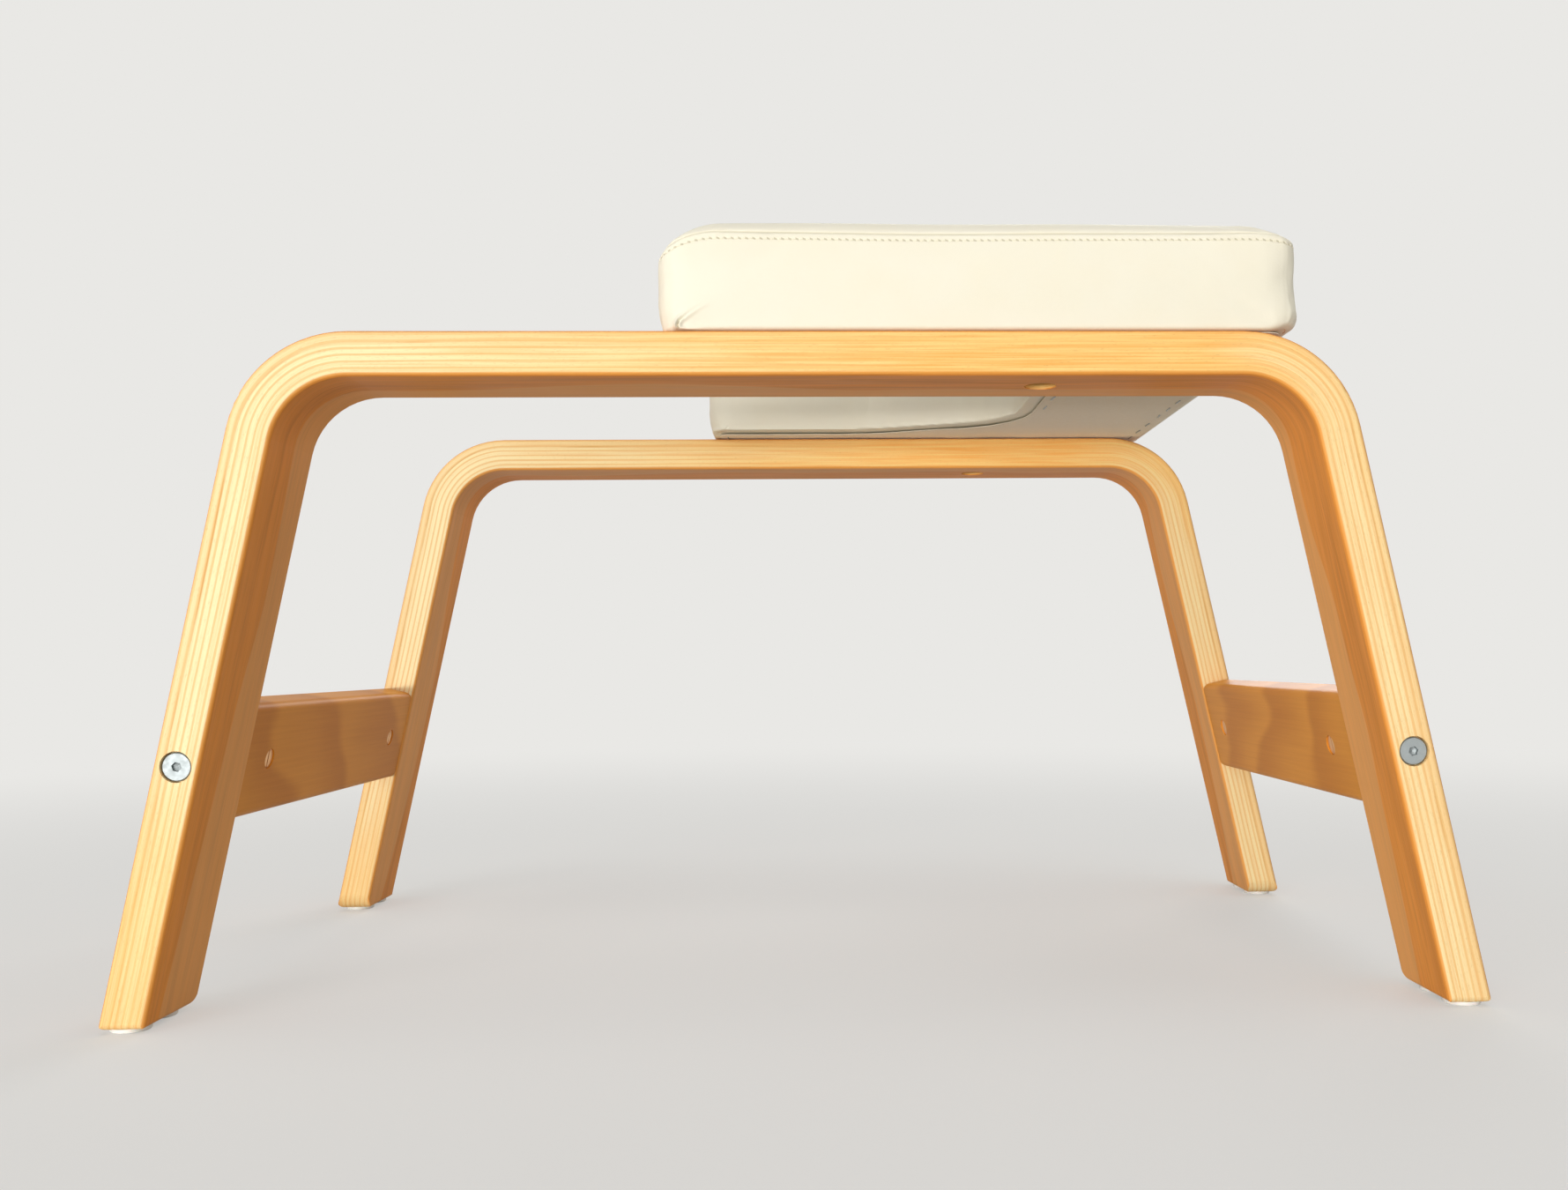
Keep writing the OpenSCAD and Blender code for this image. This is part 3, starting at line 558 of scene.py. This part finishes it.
def seated(co, normal):
    """The lower edge turned tightly and laid on the rails, the tips drawn in below, the closed end full."""
    depth, way = outline_way(co.x, co.y)
    over_rail = smooth(abs(co.y), 108 * MM, 116 * MM) * (1 - smooth(co.x, 210 * MM, 222 * MM))
    low = 1 - smooth(co.z, HEM_Z + 0.8 * MM, HEM_Z + 7 * MM)
    drop = 1.6 * MM * low * (1 - smooth(depth, 5 * MM, 12 * MM)) * over_rail
    turn = 1 - min(1.0, max(0.0, (co.z - HEM_Z - 1 * MM) / (3.6 * MM)))
    push = 2.2 * MM * turn**2 * (1 - smooth(depth, 3 * MM, 11 * MM))
    push *= 1 - smooth(co.x, 206 * MM, 218 * MM)
    if depth > CORNER_R or co.x < TIP_X + 25 * MM and abs(co.y) < ARM_Y + CORNER_R:
        # Along the notch and the tips, the wall's own normal is the way out.
        way = Vector((normal.x, normal.y, 0)).normalized()
        push = 3.7 * MM * turn**2 * smooth(normal.xy.length, 0.1, 0.5)
    new = co + way * push - Vector((0, 0, drop))
    tip = 1 - smooth(co.x, TIP_X + 4 * MM, TIP_X + 26 * MM)
    foot = min(1.0, max(0.0, (HEM_Z + 16 * MM - co.z) / (16 * MM)))
    new.x += 1.6 * MM * foot**1.2 * tip - 0.9 * MM * tip * smooth(co.z, HEM_Z, HEM_Z + 16 * MM)
    full = 1.3 * MM + 0.8 * MM * math.exp(-(((co.z - HEM_Z - 10 * MM) / (11 * MM)) ** 2))
    foot = min(1.0, max(0.0, (HEM_Z + 9 * MM - co.z) / (9 * MM)))
    full -= 1.8 * MM * foot**2 * smooth(co.x, 206 * MM, 222 * MM)
    new.x += full * smooth(co.x, 140 * MM, CLOSED_X - 6 * MM)
    return new


def rounded_end(co):
    """How much lower the shoulders lie at the arm tips and the closed end than tip_dip gives."""
    share = smooth(co.z, BOARD_TOP_Z, SEAM_Z)
    above = smooth(co.z, SEAM_Z, SEAM_Z + 8 * MM)
    tip = min(1.0, max(0.0, 1 - (co.x - TIP_X) / (26 * MM)))
    end = min(1.0, max(0.0, 1 - (CLOSED_X + 2 * MM - co.x) / (26 * MM)))
    return share * (3.2 * MM * tip**1.4 * (0.7 + 0.6 * above) + 8 * MM * end**1.6 * (0.35 + 0.85 * above))


# The pleat at an arm tip's outer lower corner, and the lip folded under at the inner one: points along the
# rolled rim, as way back from the tip, height over the rail and how far the rim stands out, in millimetres.
LIP = ((3, 1.8, 0.5), (7, 1.9, 0.9), (10.4, 2.2, 1.3), (11.8, 3.2, 1.3), (12.8, 4.8, 0.5))
PLEAT = ((27, 13.0, 0.0), (22, 10.6, 0.3), (18, 8.2, 0.5), (14.6, 5.8, 0.8), (12.3, 4.0, 1.1),
         (11.6, 2.6, 1.3), (12.2, 1.2, 1.4), (14.6, 0.5, 1.3), (19, 0.2, 0.9), (28, 0.0, 0.0))


def pleated(line, back, up):
    """How far the leather stands out near the pleat, in millimetres like its arguments."""
    best, height, inside = 1e9, 0.0, False
    for (x0, z0, h0), (x1, z1, h1) in zip(line, line[1:]):
        run = (x1 - x0, z1 - z0)
        t = ((back - x0) * run[0] + (up - z0) * run[1]) / (run[0] ** 2 + run[1] ** 2)
        t = min(1.0, max(0.0, t))
        off = math.hypot(back - x0 - t * run[0], up - z0 - t * run[1])
        if off < best:
            best, height = off, h0 + t * (h1 - h0)
            inside = run[0] * (up - z0) - run[1] * (back - x0) < 0
    rim = 1.2 * height * math.exp(-((best / 0.9) ** 2))
    pit = 1.7 * height**2 * math.exp(-(((best - 1.7) / 1.0) ** 2)) if inside else 0.0
    return rim - pit


def near_pleat(co):
    """True on the upright sides of the arm tips, near their lower corners."""
    side = min(abs(abs(co.y) - SIDE_Y), abs(abs(co.y) - ARM_Y))
    return co.x < TIP_X + 32 * MM and co.z < HEM_Z + 16 * MM and side < 9 * MM


def near_end_corner(co):
    """True round the closed end's two upright corners."""
    return co.x > CLOSED_X - 30 * MM and abs(co.y) > SIDE_Y - 26 * MM and co.z < SEAM_Z


def stuffed(form, cushion):
    """Blows the form up from inside with cloth pressure, held at its hem and sewn edge."""
    start = [v.co.copy() for v in form.data.vertices]
    group = form.vertex_groups.new(name="held")
    for v in form.data.vertices:
        if v.co.z < HEM_Z + 2.5 * MM:
            group.add([v.index], 1.0, "REPLACE")
        elif abs(v.co.z - SEAM_Z) < 1.8 * MM:
            group.add([v.index], 0.85, "REPLACE")
    alone(form)
    cloth = form.modifiers.new("Stuffing", "CLOTH")
    cloth.settings.quality = 5
    cloth.settings.mass = 0.3
    cloth.settings.use_pressure = True
    cloth.settings.uniform_pressure_force = 4
    cloth.settings.vertex_group_mass = "held"
    cloth.settings.effector_weights.gravity = 0
    cloth.point_cache.frame_start, cloth.point_cache.frame_end = 1, 20
    for step in range(1, 21):
        bpy.context.scene.frame_set(step)
    bpy.ops.object.modifier_apply(modifier=cloth.name)
    bpy.context.scene.frame_set(1)
    for v, was in zip(form.data.vertices, start):
        move = v.co - was
        if move.length > cushion.swell:
            v.co = was + move * (cushion.swell / move.length)
    form.vertex_groups.remove(form.vertex_groups["held"])


def split_faces(obj, chosen, times):
    """Divides the faces whose centres pass the test."""
    alone(obj)
    bpy.ops.object.mode_set(mode="EDIT")
    bpy.ops.mesh.select_mode(type="FACE")
    bpy.ops.mesh.select_all(action="DESELECT")
    bpy.ops.object.mode_set(mode="OBJECT")
    for face in obj.data.polygons:
        face.select = chosen(face.center)
    bpy.ops.object.mode_set(mode="EDIT")
    bpy.ops.mesh.subdivide(number_cuts=times, smoothness=1.0)
    bpy.ops.object.mode_set(mode="OBJECT")


def loops_of(obj, group):
    """Closed rings of vertex numbers through a group, each anticlockwise from above."""
    mesh, index = obj.data, obj.vertex_groups[group].index
    members = {v.index for v in mesh.vertices if any(g.group == index for g in v.groups)}
    ways = {}
    for edge in mesh.edges:
        a, b = edge.vertices
        if a in members and b in members:
            ways.setdefault(a, []).append(b)
            ways.setdefault(b, []).append(a)
    rings, seen = [], set()
    for first in sorted(ways):
        ring, here = [], first
        while here is not None and here not in seen:
            seen.add(here)
            ring.append(here)
            here = next((n for n in ways[here] if n not in seen), None)
        if len(ring) > 50:
            flat = [mesh.vertices[i].co for i in ring]
            if sum(a.x * b.y - b.x * a.y for a, b in zip(flat, flat[1:] + flat[:1])) < 0:
                ring.reverse()
            rings.append(ring)
    return rings


def map_sewing(form, stitch_z, pitch):
    """Gives the faces near the sewn edge a map: stitches along the row, and millimetres above it."""
    mesh = form.data
    sewing = mesh.uv_layers.new(name="sewing", do_init=False)
    for corner in sewing.data:
        corner.uv = (0.0, 50.0)
    for ring in loops_of(form, "stitch_row"):
        points = [mesh.vertices[i].co.copy() for i in ring]
        count, total = len(points), 0.0
        marks = []
        for a, b in zip(points, points[1:] + points[:1]):
            marks.append(total)
            total += (b - a).length
        whole = round(total / pitch)
        tree = kdtree.KDTree(count)
        for index, point in enumerate(points):
            tree.insert((point.x, point.y, 0), index)
        tree.balance()
        here = {}
        for v in mesh.vertices:
            if abs(v.co.z - stitch_z) < 7 * MM:
                flat = Vector((v.co.x, v.co.y, 0))
                _, index, off = tree.find(flat)
                if off < 8 * MM:
                    a = points[index].xy
                    ahead, back = points[(index + 1) % count].xy - a, points[index - 1].xy - a
                    on = min(max((flat.xy - a).dot(ahead.normalized()), 0.0), ahead.length)
                    off = min(max((flat.xy - a).dot(back.normalized()), 0.0), back.length)
                    here[v.index] = (marks[index] + (on if on > off else -off)) * whole / total
        for face in mesh.polygons:
            if all(i in here for i in face.vertices):
                most = max(here[i] for i in face.vertices)
                for corner in face.loop_indices:
                    index = mesh.loops[corner].vertex_index
                    along = here[index]
                    if most - along > whole / 2:
                        along += whole
                    sewing.data[corner].uv = (along, (mesh.vertices[index].co.z - stitch_z) / MM)


def folded(co, normal):
    """How far the pleat or the lip shifts a point near an arm tip's lower corner, along y."""
    outer = abs(co.y) > SIDE_Y - 20 * MM
    depth = SIDE_Y - abs(co.y) if outer else abs(co.y) - ARM_Y
    line, share = (PLEAT, 1.0) if outer else (LIP, 0.7)
    stands = pleated(line, (co.x - TIP_X) / MM, (co.z - RAIL_TOP_Z) / MM) * share
    stands *= MM * (1 - smooth(depth, 3.2 * MM, 6 * MM)) * smooth(abs(normal.y), 0.05, 0.4)
    return math.copysign(stands, co.y if outer else -co.y)


def wrinkled(co):
    """How deep the fine wrinkles are round the closed end's upright corners."""
    crease = smooth(co.x, 200 * MM, 222 * MM) * smooth(abs(co.y), 148 * MM, 162 * MM)
    if crease == 0:
        return 0.0
    around = math.atan2(abs(co.y) - SIDE_Y + CORNER_R, co.x - CLOSED_X + CORNER_R)
    spot = Vector((around * 5.5, co.z * 12, math.copysign(3, co.y)))
    return 0.22 * MM * crease * noise.noise(spot)


def pulled_in(form, stitch_z, seam_depth):
    """Draws in the sewn edge and the stitch row, and adds the folds and wrinkles."""
    normals = [v.normal.copy() for v in form.data.vertices]
    for v, normal in zip(form.data.vertices, normals):
        off, low = abs(v.co.z - SEWN_Z), abs(v.co.z - stitch_z)
        groove = seam_depth * max(0.0, 1 - off / (0.7 * MM))
        groove += 0.55 * MM * max(0.0, 1 - off / (2.4 * MM)) ** 2
        groove += 0.3 * MM * max(0.0, 1 - low / (1.0 * MM))
        if near_pleat(v.co):
            v.co.y += folded(v.co, normal)
        v.co -= normal * (groove + wrinkled(v.co))


class STOOL_OT_side_frames(bpy.types.Operator):
    """Finish the two bent laminated side frames"""

    bl_idname = "stool.side_frames"
    bl_label = "Side frames"

    def execute(self, context):
        dress(laminate_material(context.scene.stool_wood), "near_side_frame", "far_side_frame")
        return {"FINISHED"}


class STOOL_OT_crossbars(bpy.types.Operator):
    """Finish the two crossbars, their dowels and the board in the cushion"""

    bl_idname = "stool.crossbars"
    bl_label = "Crossbars"

    def execute(self, context):
        wood = context.scene.stool_wood
        dress(crossbar_material(wood), "left_crossbar", "right_crossbar")
        dress(inner_wood_material(wood), "dowel_", "cushion_board")
        return {"FINISHED"}


class STOOL_OT_hardware(bpy.types.Operator):
    """Finish the bolts, nuts and glides"""

    bl_idname = "stool.hardware"
    bl_label = "Bolts, nuts and glides"

    def execute(self, context):
        metal = context.scene.stool_metal
        dress(zinc_material("zinc_plated_steel_turned", metal.zinc, True), "bolt_")
        dress(zinc_material("zinc_plated_steel", metal.zinc, False), "cushion_bolt_", "tee_nut_")
        dress(zinc_material("yellow_zinc_plated_steel", metal.yellow_zinc, False), "barrel_nut_")
        dress(glide_material(metal), "glide_")
        return {"FINISHED"}


class STOOL_OT_cushion(bpy.types.Operator):
    """Make the sewn cushion: one padded form with its sewn edge and folds"""

    bl_idname = "stool.cushion"
    bl_label = "Sewn cushion"

    def execute(self, context):
        cushion = context.scene.stool_cushion
        skins = ("cover_top_panel", "cover_border", "foam_pad")
        form = copy_of("cushion", *skins, "cushion_board")
        for v in form.data.vertices:
            v.co.z = undip(v.co.x, v.co.z)
        modified(form, "REMESH", mode="VOXEL", voxel_size=cushion.voxel)
        for v in form.data.vertices:
            v.co -= v.normal * cushion.tuck
            v.co.z = max(v.co.z, HEM_Z + 0.1 * MM)
        stuffed(form, cushion)
        modified(form, "SUBSURF", levels=1, render_levels=1)
        normals = [v.normal.copy() for v in form.data.vertices]
        for v, normal in zip(form.data.vertices, normals):
            v.co = seated(v.co, normal)

        # Finer faces where the folds and the wrinkles go, and cuts along the sewn edge and the stitch row.
        stitch_z = SEWN_Z - cushion.stitch_drop
        for times, chosen in ((2, near_pleat), (1, near_end_corner)):
            split_faces(form, chosen, times)
        bpy.ops.object.mode_set(mode="EDIT")
        for middle, offsets in ((SEWN_Z, SEAM_CUTS), (stitch_z, ROW_CUTS)):
            for offset in offsets:
                bpy.ops.mesh.select_all(action="SELECT")
                cut_at = (0, 0, middle + offset * MM)
                bpy.ops.mesh.bisect(plane_co=cut_at, plane_no=(0, 0, 1), threshold=1e-6)
        bpy.ops.object.mode_set(mode="OBJECT")
        row = form.vertex_groups.new(name="stitch_row")
        on_row = [v.index for v in form.data.vertices if abs(v.co.z - stitch_z) < 0.01 * MM]
        row.add(on_row, 1.0, "REPLACE")
        map_sewing(form, stitch_z, cushion.stitch_pitch)
        pulled_in(form, stitch_z, cushion.seam_depth)
        for v in form.data.vertices:
            ease = 0.35 * MM * noise.noise(Vector((v.co.x * 16, v.co.y * 16, 3.0)))
            ease *= smooth(v.co.z, BOARD_TOP_Z, SEAM_Z)
            v.co.z += ease - rounded_end(v.co) - tip_dip(v.co.x, v.co.z)
        finish_piece(form, leather_material(cushion))
        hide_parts(*skins)
        return {"FINISHED"}


class STOOL_OT_stitching(bpy.types.Operator):
    """Sew the row of slanted stitches under the cushion's sewn edge"""

    bl_idname = "stool.stitching"
    bl_label = "Topstitching"

    def execute(self, context):
        cushion = context.scene.stool_cushion
        form = bpy.data.objects["cushion"]
        mesh, rings = form.data, loops_of(form, "stitch_row")
        if not rings:
            raise RuntimeError("the cushion has no stitch row")
        marks = {}
        for corner, place in zip(mesh.loops, mesh.uv_layers["sewing"].data):
            marks[corner.vertex_index] = min(place.uv.x, marks.get(corner.vertex_index, place.uv.x))
        bpy.ops.object.select_all(action="DESELECT")
        bpy.ops.mesh.primitive_uv_sphere_add(segments=6, ring_count=5, radius=1)
        pattern = bpy.context.object
        pattern.name = "stitch_pattern"
        work = bmesh.new()
        for ring in rings:
            due = 0
            for here, after in zip(ring, ring[1:] + ring[:1]):
                start = marks[here]
                stop = marks[after] if after != ring[0] else math.ceil(start + 1e-4)
                while due < stop and due <= start + 1:
                    share = (due - start) / (stop - start) if stop > start else 0.0
                    a, b = mesh.vertices[here], mesh.vertices[after]
                    stamp(work, pattern, self.place(a, b, share, cushion.stitch))
                    due += 1
        thread = made_object("topstitching", work)
        bpy.data.objects.remove(pattern)
        finish_piece(thread, thread_material(cushion))
        return {"FINISHED"}

    def place(self, a, b, share, size):
        """The matrix of a stitch on the way from one vertex of the row to the next."""
        way = (b.co - a.co).normalized()
        side = a.normal.cross(way).normalized()
        out = way.cross(side).normalized()
        way, side = (
            way * math.cos(SLANT) - side * math.sin(SLANT),
            side * math.cos(SLANT) + way * math.sin(SLANT),
        )
        spot = a.co.lerp(b.co, share) + out * 0.1 * MM
        turn = Matrix((way * size / 2, side * THREAD_W / 2, out * THREAD_T / 2)).transposed()
        return Matrix.Translation(spot) @ turn.to_4x4()


class STOOL_OT_lining(bpy.types.Operator):
    """Make the lining under the cushion and the staples that hold it"""

    bl_idname = "stool.lining"
    bl_label = "Lining and staples"

    def execute(self, context):
        cushion = context.scene.stool_cushion
        low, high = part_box("underside_lining")
        sheet = copy_of("lining", "underside_lining")
        work = bmesh.new()
        work.from_mesh(sheet.data)
        upper = [f for f in work.faces if f.calc_center_median().z > low.z + 0.05 * MM]
        bmesh.ops.delete(work, geom=upper, context="FACES")
        bmesh.ops.dissolve_limit(work, angle_limit=0.02, verts=work.verts, edges=work.edges)
        area = sum(f.calc_area() for f in work.faces)
        # A grid, so that the cloth can sag a little between its staples.
        for axis in (0, 1):
            place = low[axis] + LINING_GRID
            while place < high[axis]:
                spot, way = [0, 0, 0], [0, 0, 0]
                spot[axis], way[axis] = place, 1
                everything = work.verts[:] + work.edges[:] + work.faces[:]
                bmesh.ops.bisect_plane(work, geom=everything, dist=1e-6, plane_co=spot, plane_no=way)
                place += LINING_GRID
        for v in work.verts:
            v.co.z = low.z + 0.75 * MM - 0.3 * MM * noise.noise(v.co * 45)
        bmesh.ops.recalc_face_normals(work, faces=work.faces)
        work.to_mesh(sheet.data)
        work.free()
        modified(sheet, "SOLIDIFY", thickness=LINING_T, offset=0)
        finish_piece(sheet, lining_material(cushion))
        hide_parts("underside_lining")
        self.staples(context)
        return {"FINISHED"}

    def staples(self, context):
        """Wire staples a little inside the lining's edge, at slightly uneven steps."""
        cushion = context.scene.stool_cushion
        low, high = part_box("underside_lining")
        bpy.ops.object.select_all(action="DESELECT")
        bpy.ops.mesh.primitive_cube_add(size=1)
        pattern = bpy.context.object
        pattern.name = "staple_pattern"
        pattern.data.transform(Matrix.Diagonal((*STAPLE, 1)))
        modified(pattern, "BEVEL", width=0.18 * MM, segments=2)
        left, right = low.x + STAPLE_IN, high.x - STAPLE_IN
        near, far = low.y + STAPLE_IN, high.y - STAPLE_IN
        bend, arm = NOTCH_END_X + LINING_IN + STAPLE_IN, ARM_Y + STAPLE_IN + LINING_IN
        edges = (
            ((bend, -30 * MM), (bend, 30 * MM)),
            ((right, near), (right, far)),
            ((left, far), (right, far)),
            ((left, near), (right, near)),
            ((left, near), (left, -arm)),
            ((left, arm), (left, far)),
        )
        work = bmesh.new()
        for (x0, y0), (x1, y1) in edges:
            span = math.hypot(x1 - x0, y1 - y0)
            count = max(1, round(span / cushion.staple_pitch))
            for k in range(count):
                uneven = noise.noise(Vector((x0 * 90, y0 * 90, k * 1.7)))
                t = (k + 0.5 + 0.35 * uneven) / count
                turn = math.atan2(y1 - y0, x1 - x0) + 0.25 * uneven
                spot = Vector((x0 + t * (x1 - x0), y0 + t * (y1 - y0), low.z + 0.35 * MM))
                stamp(work, pattern, Matrix.Translation(spot) @ Matrix.Rotation(turn, 4, "Z"))
        wires = made_object("staples", work)
        bpy.data.objects.remove(pattern)
        zinc = context.scene.stool_metal.zinc
        finish_piece(wires, zinc_material("galvanised_wire", zinc, False))


def in_view(tree):
    """1 for what the camera, a shine or a clear material sees, and 0 for light that spreads."""
    rays = add(tree, "ShaderNodeLightPath")
    seen = add(tree, MATH, [rays, rays.node.outputs[3]], operation="MAXIMUM")
    return add(tree, MATH, [seen, rays.node.outputs[6]], operation="MAXIMUM")


class STOOL_OT_stage(bpy.types.Operator):
    """Set the floor, light and camera"""

    bl_idname = "stool.stage"
    bl_label = "Studio"

    def execute(self, context):
        stage = context.scene.stool_stage
        scene = context.scene
        scene.view_settings.view_transform = "Standard"
        bpy.ops.object.select_all(action="DESELECT")
        bpy.ops.mesh.primitive_circle_add(vertices=96, radius=8, fill_type="NGON", location=(0, 0, 0))
        floor = bpy.context.object
        floor.name = "floor"
        material, tree = new_material("painted_floor")
        place = add(tree, "ShaderNodeTexCoord", output=3)
        far = add(tree, VECTOR, [place], output=1, operation="LENGTH")
        far = add(tree, RANGE, [far, 0.45, 1.9, 0.5, 1.0], **EASED)
        shown = in_view(tree)
        seen = add(tree, MATH, [far, shown], operation="MULTIPLY")
        matt = add(tree, MIX, {0: shown, 6: stage.bounce, 7: stage.backdrop}, **COLOURS)
        matt = add(tree, "ShaderNodeBsdfDiffuse", [matt])
        flat = add(tree, "ShaderNodeEmission", [stage.backdrop, 1.0])
        add(tree, OUT, [add(tree, "ShaderNodeMixShader", [seen, matt, flat])])
        floor.data.materials.append(material)

        world = bpy.data.worlds.new("studio")
        scene.world = world
        world.use_nodes = True
        tree = world.node_tree
        tree.nodes.clear()
        room = add(tree, "ShaderNodeBackground", [srgb("#FFFFFF"), stage.fill])
        shown = add(tree, "ShaderNodeBackground", [stage.backdrop, 1.0])
        add(tree, "ShaderNodeOutputWorld", [add(tree, "ShaderNodeMixShader", [in_view(tree), room, shown])])

        for name, spot, wide, high, share in LAMPS:
            bpy.ops.object.light_add(type="AREA", location=spot)
            lamp = bpy.context.object
            lamp.name = name
            lamp.data.shape = "RECTANGLE"
            lamp.data.size, lamp.data.size_y = wide, high
            lamp.data.energy = stage.key * share
            lamp.rotation_euler = (Vector(spot) - LAMP_AIM).to_track_quat("Z", "Y").to_euler()
            lamp.visible_camera = False

        turned = [math.radians(a) for a in CAMERA_TURN]
        bpy.ops.object.camera_add(location=CAMERA_AT, rotation=turned)
        camera = bpy.context.object
        camera.data.sensor_width, camera.data.lens = SENSOR, LENS
        camera.data.shift_x, camera.data.shift_y = LENS_SHIFT
        camera.data.clip_start, camera.data.clip_end = 0.01, 50
        scene.camera = camera
        return {"FINISHED"}


STEPS = (
    STOOL_OT_side_frames,
    STOOL_OT_crossbars,
    STOOL_OT_hardware,
    STOOL_OT_cushion,
    STOOL_OT_stitching,
    STOOL_OT_lining,
    STOOL_OT_stage,
)
SETTINGS = {
    "stool_wood": StoolWoodSettings,
    "stool_metal": StoolMetalSettings,
    "stool_cushion": StoolCushionSettings,
    "stool_stage": StoolStageSettings,
}


class STOOL_PT_panel(bpy.types.Panel):
    """Lists the stool's settings and steps"""

    bl_label = "Headstand stool"
    bl_idname = "STOOL_PT_panel"
    bl_space_type = "VIEW_3D"
    bl_region_type = "UI"
    bl_category = "Stool"

    def draw(self, context):
        for name, kind in SETTINGS.items():
            group = getattr(context.scene, name)
            for key in kind.__annotations__:
                self.layout.prop(group, key)
        for step in STEPS:
            self.layout.operator(step.bl_idname)


def register():
    for kind in (*SETTINGS.values(), *STEPS, STOOL_PT_panel):
        bpy.utils.register_class(kind)
    for name, kind in SETTINGS.items():
        setattr(bpy.types.Scene, name, bpy.props.PointerProperty(type=kind))


def unregister():
    for name in SETTINGS:
        delattr(bpy.types.Scene, name)
    for kind in (STOOL_PT_panel, *reversed(STEPS), *SETTINGS.values()):
        bpy.utils.unregister_class(kind)


def main():
    register()
    bpy.ops.stool.side_frames()
    bpy.ops.stool.crossbars()
    bpy.ops.stool.hardware()
    bpy.ops.stool.cushion()
    bpy.ops.stool.stitching()
    bpy.ops.stool.lining()
    bpy.ops.stool.stage()


if __name__ == "__main__":
    main()
